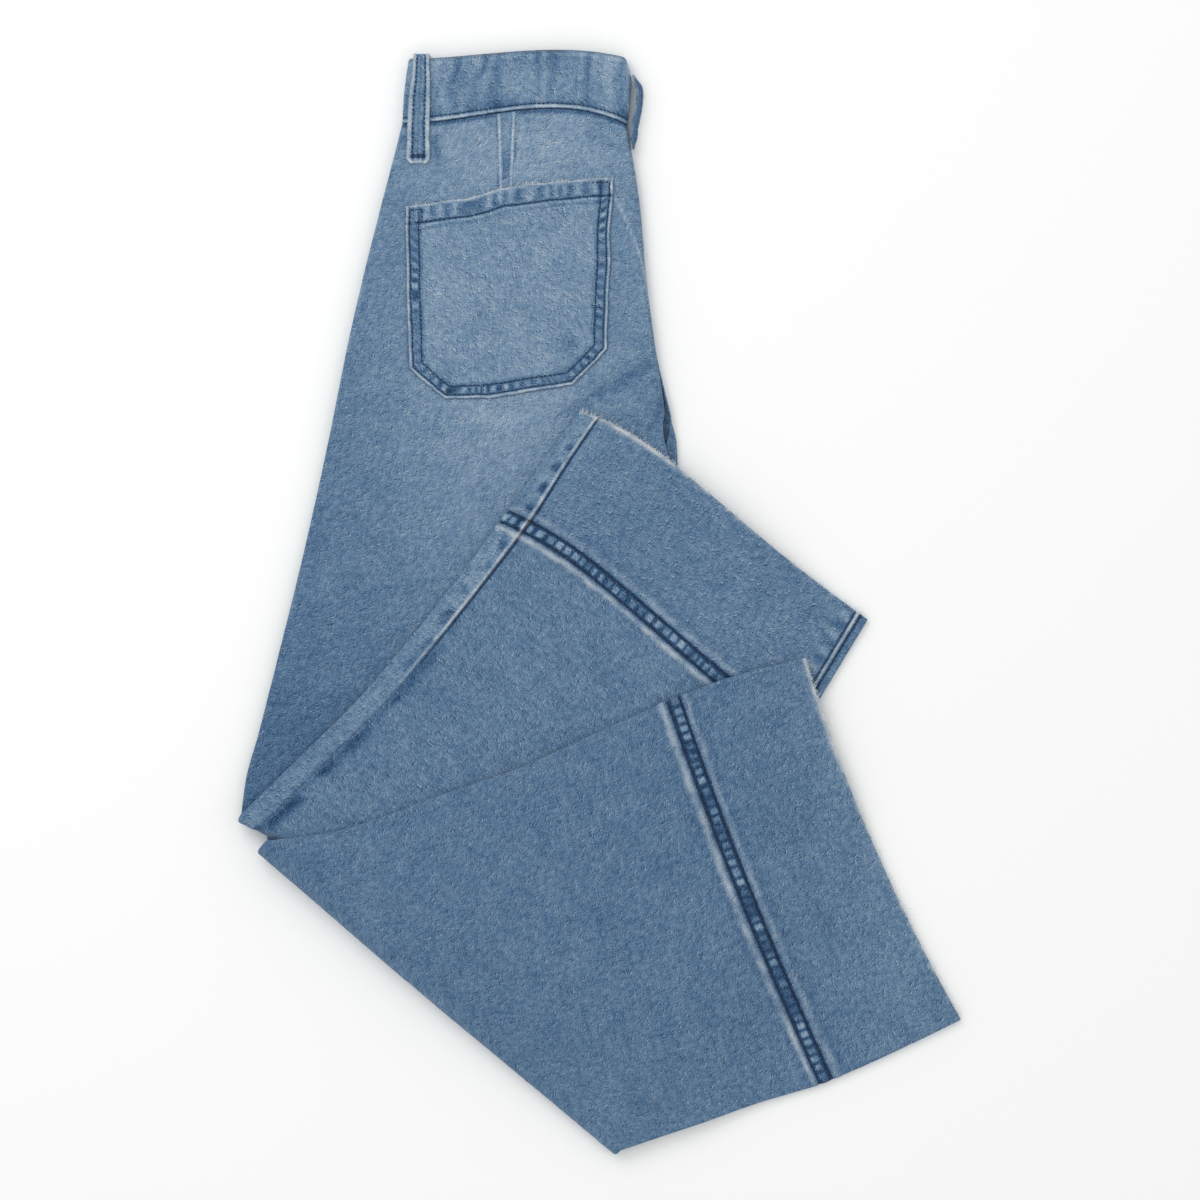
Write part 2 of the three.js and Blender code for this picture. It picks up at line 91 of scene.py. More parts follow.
# %% [markdown]
# ## Folded outlines
# Seen from above, a folded leg is a run of lines from its outseam edge to its inseam edge. Each entry
# gives both ends of one line, and how far the line bows. Smooth curves join the ends, as a cutter
# joins marks with a French curve.

# %% The runs
CROTCH, KNEE, HEM_SEAM = 4, 9, 5
LEFT_TRUNK = [
    ((-146, 354), (20, 353), 12), ((-160, 300), (29, 298), 0), ((-174, 245), (34, 243), 0),
    ((-187, 188), (41, 188), 0), ((-196, 143), (48, 143), 0), ((-204, 104), (52, 104), 0),
    ((-220, 33), (67, 25), 0), ((-238, -40), (72, -60), 0), ((-252, -95), (66, -140), 0),
    ((-261, -127), (50, -232), 0), ((-265, -156), (23, -298), 0),
]
RIGHT_TRUNK = [
    ((-145, 354), (20, 353), 12), ((-158, 300), (29, 298), 0), ((-172, 245), (34, 243), 0),
    ((-185, 188), (41, 188), 0), ((-193, 143), (51, 143), 0), ((-201, 104), (57, 104), 0),
    ((-217, 33), (69, 25), 0), ((-231, -40), (75, -60), 0), ((-240, -95), (69, -140), 0),
    ((-245, -133), (56, -234), 0), ((-247, -153), (42, -320), 0), ((-246, -175), (15, -404), 0),
]
LEFT_FLAP = [
    ((-265, -156), (23, -298), 0), ((-221, -113), (48, -257), 2), ((-175, -67), (78, -208), 5),
    ((-130, -13), (107, -161), 7), ((-95, 32), (128, -127), 8), ((-71, 64), (145, -99), 8),
    ((-43, 104), (172, -55), 9), ((-15, 142), (198, -12), 9),
]
RIGHT_FLAP = [
    ((-246, -175), (15, -404), 0), ((-190, -167), (48, -393), 0), ((-130, -146), (81, -382), -2),
    ((-60, -121), (115, -370), -4), ((0, -94), (142, -362), -5), ((54, -70), (167, -354), -4),
    ((100, -53), (215, -333), -7), ((151, -40), (267, -308), -8),
]
BAND_RUN = [
    ((-146, 354), (20, 353), 12), ((-145, 372), (22, 370), 10), ((-143, 390), (23, 388), 8),
    ((-141, 402), (19, 403), 6),
]


def french_curve(marks, u):
    """A smooth curve through marks, at u counted in marks."""
    marks = np.asarray(marks, float)
    last = len(marks) - 1
    u = np.clip(np.asarray(u, float), 0, last)
    k = np.minimum(np.floor(u).astype(int), last - 1)
    t = (u - k)[..., None]
    a, b = marks[np.maximum(k - 1, 0)], marks[k]
    c, d = marks[k + 1], marks[np.minimum(k + 2, last)]
    into, out = (c - a) / 2, (d - b) / 2
    return (2 * b - 2 * c + into + out) * t**3 + (3 * c - 3 * b - 2 * into - out) * t**2 + into * t + b


class Run:
    """A run of lines across a folded leg."""

    def __init__(self, pairs, rise, fall):
        self.outseam = [pair[0] for pair in pairs]
        self.inseam = [pair[1] for pair in pairs]
        self.bow = [[pair[2]] for pair in pairs]
        self.rise, self.fall, self.last = rise, fall, len(pairs) - 1

    def ends(self, u):
        return french_curve(self.outseam, u), french_curve(self.inseam, u)

    def width(self, u):
        outseam, inseam = self.ends(u)
        return np.linalg.norm(inseam - outseam, axis=-1)

    def line(self, u, v):
        outseam, inseam = self.ends(u)
        along = (inseam - outseam) / np.linalg.norm(inseam - outseam, axis=-1)[..., None]
        inside = np.clip(v, 0, 1)
        peak = self.rise / (self.rise + self.fall)
        bow = inside**self.rise * (1 - inside) ** self.fall / (peak**self.rise * (1 - peak) ** self.fall)
        bow = bow * french_curve(self.bow, u)[..., 0]
        across = np.stack([-along[..., 1], along[..., 0]], -1)
        return outseam + (inseam - outseam) * np.asarray(v)[..., None] + across * bow[..., None]


left_trunk, right_trunk = Run(LEFT_TRUNK, 2, 1), Run(RIGHT_TRUNK, 2, 1)
left_flap, right_flap = Run(LEFT_FLAP, 1, 3), Run(RIGHT_FLAP, 1, 1)
band_run = Run(BAND_RUN, 2, 1)
print("hem width:", left_flap.width(7.0).round(), right_flap.width(7.0).round(), "mm")

# %% [markdown]
# ## How high each layer lies
# A turned leg lies level on the leg beneath it, and comes down over its edge. How far a point is
# outside an outline says how far it has come down. Next to its fold a turned leg stands a little
# proud, as a thick fold does.

# %% Heights
DRAPE_START, DRAPE_END = 32.0, 108.0
FLAP_SLACK, ROLL_LIFT, ROLL_REACH = 1.2, 2.0, 18.0


def smooth(low, high, x):
    t = np.clip((np.asarray(x, float) - low) / (high - low), 0, 1)
    return t * t * (3 - 2 * t)


def outline(run, steps=48):
    u = np.linspace(0, run.last, steps + 1)
    return np.concatenate([run.line(u, np.zeros_like(u)), run.line(u[::-1], np.ones_like(u))])


def to_line(points, line, closed=False):
    """How far points are from a line of marks, in plan."""
    line = np.asarray(line, float)
    ends = np.roll(line, -1, axis=0) if closed else line[1:]
    nearest = np.full(points.shape[:-1], np.inf)
    for a, b in zip(line, ends):
        ab = b - a
        t = np.clip(((points - a) @ ab) / (ab @ ab), 0, 1)
        gap = points - (a + t[..., None] * ab)
        nearest = np.minimum(nearest, np.hypot(gap[..., 0], gap[..., 1]))
    return nearest


def is_inside(points, shape):
    inside = np.zeros(points.shape[:-1], bool)
    x, y = points[..., 0], points[..., 1]
    for a, b in zip(np.roll(shape, 1, axis=0), shape):
        if a[1] != b[1]:
            crosses = (a[1] > y) != (b[1] > y)
            inside ^= crosses & (x < a[0] + (y - a[1]) / (b[1] - a[1]) * (b[0] - a[0]))
    return inside


left_trunk_shape, right_trunk_shape = outline(left_trunk), outline(right_trunk)
left_flap_shape = outline(left_flap)


def cover(shape, p):
    away = np.where(is_inside(p, shape), 0.0, to_line(p, shape, closed=True))
    return 1 - smooth(DRAPE_START, DRAPE_END, away)


def hip_rise(p):
    return HIP_RISE * smooth(95, 145, p[..., 1])


def roll_lift(trunk, p):
    a, b = trunk.ends(float(trunk.last))
    along = (b - a) / np.linalg.norm(b - a)
    away = (p[..., 0] - a[0]) * along[1] - (p[..., 1] - a[1]) * along[0]
    return ROLL_LIFT * np.exp(-((away / ROLL_REACH) ** 2))


def left_trunk_z(p):
    return LEFT_LEG_Z + hip_rise(p)


def right_trunk_z(p):
    return RIGHT_LEG_Z + hip_rise(p)


def left_flap_z(p):
    under = LAYER * cover(right_trunk_shape, p) + (LAYER + hip_rise(p)) * cover(left_trunk_shape, p)
    return RIGHT_LEG_Z + under + roll_lift(left_trunk, p)


def right_flap_z(p):
    under = LAYER * (cover(right_trunk_shape, p) + cover(left_trunk_shape, p))
    lift = LAYER + FLAP_SLACK + roll_lift(left_trunk, p)
    return RIGHT_LEG_Z + under + cover(left_flap_shape, p) * lift + roll_lift(right_trunk, p)


LEFT = dict(trunk=left_trunk, flap=left_flap, low=left_trunk_z, high=left_flap_z, back=1, slip=-1.6)
RIGHT = dict(trunk=right_trunk, flap=right_flap, low=right_trunk_z, high=right_flap_z, back=-1, slip=2.6)
print("top of the pile:", 2 * LAYER + LEG + LAYER + FLAP_SLACK, "mm")

# %% [markdown]
# ## Placing a point of a leg
# w runs across a leg from its outseam edge and r is the height over the leg's middle. In the trunk a
# leg is level, in the flap it lies turned over, and round the fold it follows half a circle. Below the
# crotch the lower thigh slips out a little from under the upper one, and the cloth rumples there.

# %% Place a point


CROTCH_Y = 124.0  # middle of the slipped part


def place(leg, turn, u, w, r):
    """Board points for arrays of stations u, distances w and heights r. turn is one number."""
    run = leg["trunk"] if turn < math.pi else leg["flap"]
    across = w / run.width(u)
    p = run.line(u, across)
    if turn == 0:
        beside = smooth(0.75, 1, across) * np.exp(-(((p[..., 1] - CROTCH_Y) / 15) ** 2))
        p[..., 0] += leg["slip"] * beside
        return np.concatenate([p, (leg["low"](p) + r)[..., None]], -1)
    if turn == math.pi:
        return np.concatenate([p, (leg["high"](p) - r)[..., None]], -1)
    a, b = leg["trunk"].ends(float(leg["trunk"].last))
    out = np.array([b[1] - a[1], a[0] - b[0]]) / np.linalg.norm(b - a)
    low = leg["low"](p)
    radius = (leg["high"](p) - low) / 2
    p = p + out * ((radius - r) * math.sin(turn))[..., None]
    z = low + radius - (radius - r) * math.cos(turn)
    return np.concatenate([p, z[..., None]], -1)


# %% [markdown]
# ## Sections
# A panel's section is the middle line of its cloth. The wide back panel is carried round onto the
# front at both seams. Above the crotch its inner side is half of the centre back fold, and below the
# crotch it is the leg's own folded edge.

# %% Sections of the panels


def arc(w, r, radius, start, end, count):
    turn = np.radians(np.linspace(start, end, count + 1))
    return np.stack([w + radius * np.cos(turn), r + radius * np.sin(turn)], -1)


def level(start, end, r, count):
    w = np.linspace(start, end, count + 1)
    return np.stack([w, np.full_like(w, r)], -1)


def at_height(w, r):
    return np.stack([w, np.full_like(w, r)], -1)


# Where a returned edge has points, measured from its fold: close together at its seam.
OUTSEAM_MARKS = np.array([2.5, 4.2, 6.2, 8.2, 10.0, 11.6, 12.9, 13.9, 14.6, 15.3, 15.9, 16.4, 16.85])
INSEAM_MARKS = np.array([2.8, 3.8, 4.9, 5.8, 6.5, 7.2, 7.9, 8.5, 9.0, 9.4, 9.85])


def back_section(width, u, turn, across):
    below = 1.0 if turn > 0 else float(smooth(CROTCH, CROTCH + 1, u))
    radius = HALF_LEG + LAYER / 2
    outseam_side = np.concatenate([at_height(OUTSEAM_MARKS[::-1], -HALF_LEG),
                                   arc(EDGE, 0, HALF_LEG, 270, 90, 10)])
    inseam_side = np.concatenate([arc(width - EDGE, 0, HALF_LEG, 90, -90, 10),
                                  at_height(width - INSEAM_MARKS, -HALF_LEG)])
    centre_back = arc(width - WALL / 2 - radius, HALF_LEG - radius, radius, 90, 0.6, len(inseam_side) - 1)
    side = centre_back * (1 - below) + inseam_side * below
    flat = level(EDGE, side[0, 0], HALF_LEG, across)
    return np.concatenate([outseam_side, flat[1:-1], side])


def front_section(width, u, turn, across):
    start, end = OUTSEAM_RETURN + GAP / 2, width - INSEAM_RETURN - GAP / 2
    edges = np.array([0, 0.7, 1.5, 2.4, 3.5])
    middle = np.linspace(start + 5, end - 5, across)
    w = np.concatenate([start + edges, middle, end - edges[::-1]])
    return np.stack([w, np.full_like(w, -HALF_LEG)], -1)


def band_taper(u):
    """The outseam's pressed edge narrows towards the cut hem."""
    return 1 - 0.2 * smooth(HEM_SEAM, 7, u)


def hem_section(width, u, turn, across):
    """All round the leg. The side that shows gets most of the points."""
    back, front = across
    left = band_taper(u) * np.concatenate([OUTSEAM_MARKS, [17.15, 17.6, 18.1, 18.8, 20.0]])
    right = width - np.concatenate([INSEAM_MARKS, [10.15, 10.6, 11.2, 12.0, 13.0]])
    middle = np.linspace(left[-1], right[-1], front)[1:-1]
    return np.concatenate([
        arc(EDGE, 0, HALF_LEG, 270, 90, 10),
        level(EDGE, width - EDGE, HALF_LEG, back)[1:-1],
        arc(width - EDGE, 0, HALF_LEG, 90, -90, 10),
        at_height(right, -HALF_LEG), at_height(middle[::-1], -HALF_LEG), at_height(left[::-1], -HALF_LEG)])


def offset(section, distance, closed=False):
    """Moves a section's points to its left by distance."""
    if closed:
        before, after = np.roll(section, 1, axis=0), np.roll(section, -1, axis=0)
    else:
        before = np.concatenate([section[:1], section[:-1]])
        after = np.concatenate([section[1:], section[-1:]])
    along = after - before
    along /= np.maximum(np.linalg.norm(along, axis=1), 1e-9)[:, None]
    return section + distance * np.stack([-along[:, 1], along[:, 0]], -1)


print("points across a back panel:", len(back_section(300, 5, 0, 100)))

# %% [markdown]
# ## Weaving a grid
# A panel is a grid of points: rows are stations down the leg and columns run across it. Rows lie
# close together where the cloth shows and at seams, and far apart where it is hidden. Near the hem
# seam the rows follow the seam, so that the stitch lines stay parallel.

# %% Rows and grids


def rows_between(run, start, end, step):
    """Stations about step apart, without the first."""
    u = np.linspace(start, end, 60)
    middle = run.line(u, np.full_like(u, 0.5))
    length = np.linalg.norm(np.diff(middle, axis=0), axis=1).sum()
    return np.linspace(start, end, max(2, int(math.ceil(length / step))) + 1)[1:]


def seam_speed(run, v):
    """Millimetres per station at the hem seam, for each place across."""
    step = 0.02
    ahead = run.line(np.full_like(v, HEM_SEAM + step), v)
    behind = run.line(np.full_like(v, HEM_SEAM - step), v)
    return np.linalg.norm(ahead - behind, axis=-1) / (2 * step)


def follow_seam(run, u, v):
    speed, middle = seam_speed(run, v), seam_speed(run, np.array([0.5]))[0]
    away = (u - HEM_SEAM) * middle
    close = 1 - smooth(16, 75, abs(away))
    return u + (HEM_SEAM + away / speed - u) * close


def leg_grid(leg, stations, section, across, outer_side=1, closed=False):
    """Two faces of a panel, and for each point its w, r, side, station and distance to the hem seam."""
    faces = {side: [] for side in (1, -1)}
    notes = {key: [] for key in ("w", "r", "u", "width", "seam", "turned")}
    for turn, u in stations:
        run = leg["trunk"] if turn < math.pi else leg["flap"]
        width = float(run.width(u))
        line = section(width, u, turn, across)
        stations_here = np.full(len(line), float(u))
        seam = np.full(len(line), -999.0)
        if turn == math.pi:
            stations_here = follow_seam(run, stations_here, np.clip(line[:, 0] / width, 0, 1))
            seam = (stations_here - HEM_SEAM) * seam_speed(run, np.clip(line[:, 0] / width, 0, 1))
        for side in (1, -1):
            w, r = offset(line, side * outer_side * WALL / 2, closed).T
            v_fit = w * run.width(stations_here) / width
            faces[side].append(place(leg, turn, stations_here, v_fit, r * leg["back"]))
        for key, value in zip(notes, (line[:, 0], line[:, 1], stations_here, width, seam, turn / math.pi)):
            notes[key].append(np.broadcast_to(value, (len(line),)))
    grid = {key: np.array(value, float) for key, value in notes.items()}
    grid["outer"], grid["inner"] = np.array(faces[1]), np.array(faces[-1])
    grid["closed"] = closed
    return grid


def lengths(points, axis):
    """How far each point of a grid is along its row or column."""
    steps = np.linalg.norm(np.diff(points, axis=axis), axis=2)
    first = np.zeros_like(points[..., 0]).take([0], axis)
    return np.concatenate([first, np.cumsum(steps, axis=axis)], axis)


HIDDEN, SHOWN = 9.0, 2.5  # from one row of points to the next, where the cloth is hidden or shows
STITCH_ROWS = 4.8  # half the distance between the two stitch lines of a hem seam
SEAM_REACH, SEAM_STEP = 17.0, 0.8  # the seam's marks reach this far, and need rows this close


def flap_rows(leg, step):
    """Down the flap as far as the upper stitch line of the hem seam."""
    mean = seam_speed(leg["flap"], np.array([0.5]))[0]
    fine = np.arange(-SEAM_REACH, STITCH_ROWS + 0.01, SEAM_STEP) / mean + HEM_SEAM
    coarse = rows_between(leg["flap"], 0, fine[0], step)
    return [(math.pi, float(u)) for u in [0.0, *coarse, *fine[1:]]]


def fold_rows(leg, count=14):
    last = leg["trunk"].last
    return [(math.pi * k / count, last) for k in range(1, count)]


def trunk_rows(leg, start, step):
    return [(0, float(u)) for u in [start, *rows_between(leg["trunk"], start, leg["trunk"].last, step)]]


print("rows on the left flap:", len(flap_rows(LEFT, SHOWN)))

# %% [markdown]
# ## Unevenness
# Washed denim is never even. This smooth noise is the same on each run, because its lattice comes
# from a seeded generator, and a size in millimetres sets how broad its patches are.

# %% Noise by size


def patches(x, y, size, seed):
    """Smooth noise from -1 to 1 with patches of about size."""
    lattice = np.random.default_rng(seed).uniform(-1, 1, (64, 64))
    gx, gy = np.asarray(x) / size, np.asarray(y) / size
    ix, iy = np.floor(gx).astype(int), np.floor(gy).astype(int)
    fx, fy = smooth(0, 1, gx - ix), smooth(0, 1, gy - iy)
    pick = [lattice[(ix + a) % 64, (iy + b) % 64] for a in (0, 1) for b in (0, 1)]
    low = pick[0] * (1 - fy) + pick[1] * fy
    high = pick[2] * (1 - fy) + pick[3] * fy
    return low * (1 - fx) + high * fx


def bump(x, middle, spread):
    return np.exp(-(((np.asarray(x) - middle) / spread) ** 2))


print("noise:", patches(np.arange(3.0), np.zeros(3), 2.0, 1).round(2))

# %% [markdown]
# ## How a pile settles
# Folded cloth has broad, shallow waves and a few creases. All layers settle together, so one
# function moves every piece: nothing at the surface below, and the whole wave at the top.

# %% Settle
CREASES = [  # from, to, half width, height
    ((-22, 146), (44, 177), 6.0, -1.3), ((-6, 138), (46, 160), 7.0, 0.7),
    ((6, 308), (28, 262), 2.6, 0.35), ((28, 262), (41, 205), 3.0, 0.3),
    ((52, 148), (30, 118), 6.0, -1.0), ((-190, 150), (-120, 128), 11.0, 0.5),
    ((-200, 60), (-110, 40), 16.0, -0.5), ((-235, -60), (-170, -30), 14.0, 0.5),
    ((-140, 335), (-112, 318), 5.0, -0.5), ((10, 335), (-20, 322), 6.0, -0.5),
    ((-110, -60), (0, 20), 22.0, 0.5), ((60, 20), (130, -40), 16.0, -0.5),
    ((-150, -190), (20, -170), 26.0, 0.6), ((-60, -260), (60, -300), 24.0, -0.6),
    ((120, -180), (170, -260), 20.0, 0.5), ((190, -120), (215, -250), 14.0, -0.5),
]


def settle(points):
    """Board points with the pile's waves."""
    p = np.array(points, float)
    x, y = p[..., 0], p[..., 1]
    wave = 0.45 * patches(x + 300, y + 500, 70.0, 3) + 0.2 * patches(x + 300, y + 500, 27.0, 4)
    for start, end, spread, height in CREASES:
        start, end = np.array(start, float), np.array(end, float)
        along = end - start
        t = ((x - start[0]) * along[0] + (y - start[1]) * along[1]) / (along @ along)
        nearest = start + np.clip(t, 0, 1)[..., None] * along
        away = np.hypot(x - nearest[..., 0], y - nearest[..., 1])
        taper = np.sin(np.clip(t, 0, 1) * math.pi) ** 0.5
        wave = wave + height * np.exp(-((away / spread) ** 2)) * taper
    p[..., 2] = np.maximum(p[..., 2] + wave * smooth(0.5, 11.0, p[..., 2]), 0)
    return p


print("creases:", len(CREASES))

# %% [markdown]
# ## From grids to cloth
# A panel has an outer face, an inner face and a rim all round. The rim stands out a little in the
# middle, so that a cut edge looks rolled and not sawn. Two numbers go with each point for its colour:
# tone, from the deepest indigo below 0 to the palest wash above 1, which also carries painted shade and
# shadow lines, and raw, for bare cotton.

# %% Make a piece of cloth
pieces = {}


def make_mesh(name, points, faces, tone, raw, weave):
    mesh = bpy.data.meshes.new(name)
    mesh.from_pydata(to_frame(points).tolist(), [], [list(face) for face in faces])
    mesh.update()
    for key, value in (("tone", tone), ("raw", raw)):
        mesh.attributes.new(key, "FLOAT", "POINT").data.foreach_set("value", np.asarray(value, np.float32))
    corner = np.zeros(len(mesh.loops), np.int32)
    mesh.loops.foreach_get("vertex_index", corner)
    layer = mesh.uv_layers.new(name="weave")
    layer.data.foreach_set("uv", (np.asarray(weave)[corner] / 1000).astype(np.float32).ravel())
    mesh.polygons.foreach_set("use_smooth", np.ones(len(mesh.polygons), bool))
    obj = bpy.data.objects.new(name, mesh)
    bpy.context.scene.collection.objects.link(obj)
    pieces[name] = obj
    return obj


def grid_faces(index, closed):
    """Quads between the rows of a grid of point numbers."""
    if closed:
        index = np.concatenate([index, index[:, :1]], axis=1)
    return np.stack([index[:-1, :-1], index[:-1, 1:], index[1:, 1:], index[1:, :-1]], -1).reshape(-1, 4)


def rims(index, closed):
    """The edges of a grid as loops of point numbers, with the number of the point inside each."""
    if closed:
        return [(index[0], index[1]), (index[-1][::-1], index[-2][::-1])]
    edge = [index[0, :-1], index[:-1, -1], index[-1, :0:-1], index[:0:-1, 0]]
    inside = [index[1, :-1], index[:-1, -2], index[-2, :0:-1], index[:0:-1, 1]]
    return [(np.concatenate(edge), np.concatenate(inside))]


def cloth(name, outer, inner, tone, raw, weave, closed=False, roll=0.25, capped=False):
    rows, columns = outer.shape[:2]
    index = np.arange(rows * columns).reshape(rows, columns)
    count = rows * columns
    points = [outer.reshape(-1, 3), inner.reshape(-1, 3)]
    faces = [grid_faces(index, closed), grid_faces(index + count, closed)[:, ::-1]]
    extra = 2 * count
    owners = [np.arange(count), np.arange(count)]
    flat_outer, flat_inner = points
    for loop, within in rims(index, closed)[:1 if capped else None]:
        middle = (flat_outer[loop] + flat_inner[loop]) / 2
        away = middle - (flat_outer[within] + flat_inner[within]) / 2
        away /= np.maximum(np.linalg.norm(away, axis=1), 1e-6)[:, None]
        points.append(middle + away * roll)
        rim = extra + np.arange(len(loop))
        extra += len(loop)
        after, rim_after = np.roll(loop, -1), np.roll(rim, -1)
        faces.append(np.stack([after, loop, rim, rim_after], -1))
        faces.append(np.stack([rim_after, rim, loop + count, after + count], -1))
        owners.append(loop)
    points, faces, owners = np.concatenate(points), np.concatenate(faces), np.concatenate(owners)
    a, b, c, d = (points[faces[:, k]] for k in range(4))
    if (a * np.cross(b, c)).sum() + (a * np.cross(c, d)).sum() < 0:
        faces = faces[:, ::-1]
    tone, raw, weave = (np.asarray(x).reshape(count, *np.shape(x)[2:])[owners] for x in (tone, raw, weave))
    obj = make_mesh(name, settle(points), faces, tone, raw, weave)
    if capped:
        merge_doubles(obj)
    return obj


def merge_doubles(obj):
    mesh = bmesh.new()
    mesh.from_mesh(obj.data)
    bmesh.ops.remove_doubles(mesh, verts=mesh.verts, dist=0.00001)
    mesh.to_mesh(obj.data)
    mesh.free()


def raise_face(grid, relief):
    """The outer face of a panel, moved out by relief."""
    out = grid["outer"] - grid["inner"]
    out /= np.maximum(np.linalg.norm(out, axis=-1), 1e-6)[..., None]
    return grid["outer"] + out * relief[..., None]


print("board ready")

# %% [markdown]
# ## What the wash has done
# Stone washing and hand sanding pale the seat and the thigh, and leave the edges and shins deeper.
# Each fade is a soft oval, given by its middle, its reach and its strength.

# %% Fades
SEAT_AND_THIGH = [
    ((-50, 338), (110, 42), 0.42), ((-68, 240), (132, 120), 0.42), ((-64, 140), (78, 55), 0.24),
    ((-85, 66), (82, 112), 0.3), ((-60, 345), (90, 26), 0.12), ((-64, 170), (70, 40), 0.08),
    ((26, 236), (26, 60), 0.1), ((-210, -120), (60, 60), -0.1),
]
LEFT_SHIN = [((-40, 118), (60, 40), 0.15), ((60, 10), (160, 90), 0.03), ((150, -60), (40, 60), 0.06)]
RIGHT_SHIN = [((235, -200), (70, 140), 0.28), ((190, -80), (60, 60), 0.12), ((40, -370), (90, 40), 0.07)]


def fade(x, y, ovals, base):
    tone = np.full(np.shape(x), float(base))
    for middle, reach, strength in ovals:
        far = ((x - middle[0]) / reach[0]) ** 2 + ((y - middle[1]) / reach[1]) ** 2
        tone += strength * np.exp(-far)
    return tone + 0.05 * patches(x + 300, y + 500, 34.0, 11) + 0.05 * patches(x + 300, y + 500, 13.0, 12)


# Positive strength is a pale whisker rubbed in wear; negative strength is painted shade along creases near
# the waist and under the pocket, and in the crotch crevice.
WHISKERS_AND_CREASE_SHADE = [  # marks along the line, half width, strength
    ([(8, 305), (20, 282), (30, 255), (37, 225), (41, 198)], 1.0, 0.7),
    ([(-6, 330), (10, 312), (22, 285)], 1.0, 0.3), ([(30, 232), (36, 205), (38, 180)], 0.8, 0.3),
    ([(-28, 141), (0, 154), (34, 176)], 4.5, -0.42), ([(-122, 342), (-119, 326)], 3.5, -0.55),
    ([(-146, 344), (-139, 330)], 4.0, -0.4), ([(46, 150), (40, 128)], 4.0, -0.35),
    ([(-10, 345), (16, 336)], 3.0, -0.25), ([(-100, 139), (-60, 136), (-24, 144)], 4.0, 0.12),
]


def seat_wash_and_shade(x, y):
    tone = fade(x, y, SEAT_AND_THIGH, 0.16) - 0.22 * smooth(0, -150, y)
    # Adds the pale whisker lines, which are wear, and the painted crease and crevice shade.
    for marks, spread, strength in WHISKERS_AND_CREASE_SHADE:
        away = to_line(np.stack([x, y], -1), french_curve(marks, np.linspace(0, len(marks) - 1, 13)))
        tone = tone + strength * np.exp(-((away / spread) ** 2))
    return tone


def left_shin_wash(x, y):
    return fade(x, y, LEFT_SHIN, 0.26)


def right_shin_wash(x, y):
    return fade(x, y, RIGHT_SHIN, 0.17)


print("seat, thigh, shin:", seat_wash_and_shade(-60.0, 330.0).round(2), seat_wash_and_shade(-80.0, 60.0).round(2))

# %% [markdown]
# ## Seams as the wash leaves them
# A seam is several layers thick, so in the wash it puckers along its thread: the puckers' tops rub
# pale and the hollows keep their indigo. Stitch lines sink in, and the ridge beside them is rubbed
# the palest. The two functions below give height, tone and bare cotton around a seam.

# %% Seam profiles
PUCKER = 7.2  # from one pucker to the next


def hem_seam(d, s, seed):
    """d is measured across the seam, towards the hem, and s along it."""
    uneven = patches(s, d * 0, 21.0, seed)
    puff = 0.5 + 0.5 * np.cos(2 * math.pi * (s / PUCKER + 0.45 * uneven))
    between = 1 - smooth(3.2, 4.6, abs(d))
    lively = 0.8 + 0.6 * patches(s, d * 0, 9.0, seed + 1)
    square = (1 - smooth(2.1, 3.4, abs(d + 0.8 * uneven))) * smooth(0.2, 0.5, puff) * lively
    grooves = bump(abs(d), STITCH_ROWS, 1.05)
    ragged = 0.8 * patches(s, d * 0 + 40, 5.0, seed + 5)
    ridge, faint = bump(d, -9.6 + ragged, 2.5) * lively, bump(d, 9.2 + ragged, 1.9) * lively
    relief = between * (0.15 + 0.65 * puff) - 0.6 * grooves + 0.85 * ridge + 0.4 * faint
    # The dark stitch grooves are partly unfaded indigo under the thread, partly painted groove shade.
    tone = -1.05 * between + 1.42 * square - 1.6 * grooves + 0.58 * ridge + 0.34 * faint
    tone -= 0.3 * bump(d, -6.8, 0.9) + 0.15 * bump(d, 13.5, 3.0) + 0.12 * bump(d, -15.0, 2.5)
    return relief, tone, 0.3 * ridge + 0.1 * faint


def front_seams(w, far, s, to_hem, seed):
    """Where the returns of the back panel meet the front. w and far are from the two folded edges."""
    lively = 0.8 + 0.5 * patches(s, w * 0, 6.0, seed)
    crisp = 0.06 + 0.94 * smooth(-150, -55, to_hem)
    out_line, in_line = bump(w, 16.0, 1.25) * lively * crisp, bump(far, 8.8, 1.1) * lively
    out_shade, in_shade = bump(w, 18.1, 0.95) * crisp, bump(far, 10.7, 0.9) + 0.9 * bump(far, 6.3, 1.0)
    soft = (1 - crisp) * bump(w, 20.5, 2.6)
    spots = smooth(-0.1, 0.5, patches(s, w * 0.3, 15.0, seed + 6)) * (1 - crisp) * bump(w, 22.5, 4.0)
    blotch = smooth(-0.05, 0.5, patches(s, w * 0.6, 9.0, seed + 2))
    on_band = smooth(2, 7, w) * (1 - smooth(13.5, 15.2, w))
    beside = smooth(11.5, 13, far) * (1 - smooth(17, 25, far))
    stripe = np.sin(2 * math.pi * (s / 15 + 0.4 * patches(s, w * 0, 25.0, seed + 3)))
    relief = 0.6 * out_line + 0.6 * in_line - 0.25 * out_shade - 0.3 * in_shade
    relief += 0.2 * on_band * patches(s, w, 12.0, seed + 4) + 0.25 * beside * stripe
    relief += 0.5 * (1 - crisp) * (1 - smooth(15, 18.5, w)) - 0.25 * soft
    tone = 1.05 * out_line + 1.1 * in_line - 2.2 * out_shade - 1.7 * in_shade
    tone += on_band * (0.2 - 1.1 * blotch * smooth(4, 11, w) * crisp) + 0.6 * beside * stripe
    tone += 0.34 * (1 - crisp) * (1 - smooth(15, 17, w)) - 0.35 * soft - 0.95 * spots
    tone -= 0.1 * (1 - smooth(4, 7, far))
    return relief, tone, 0.4 * out_line + 0.45 * in_line


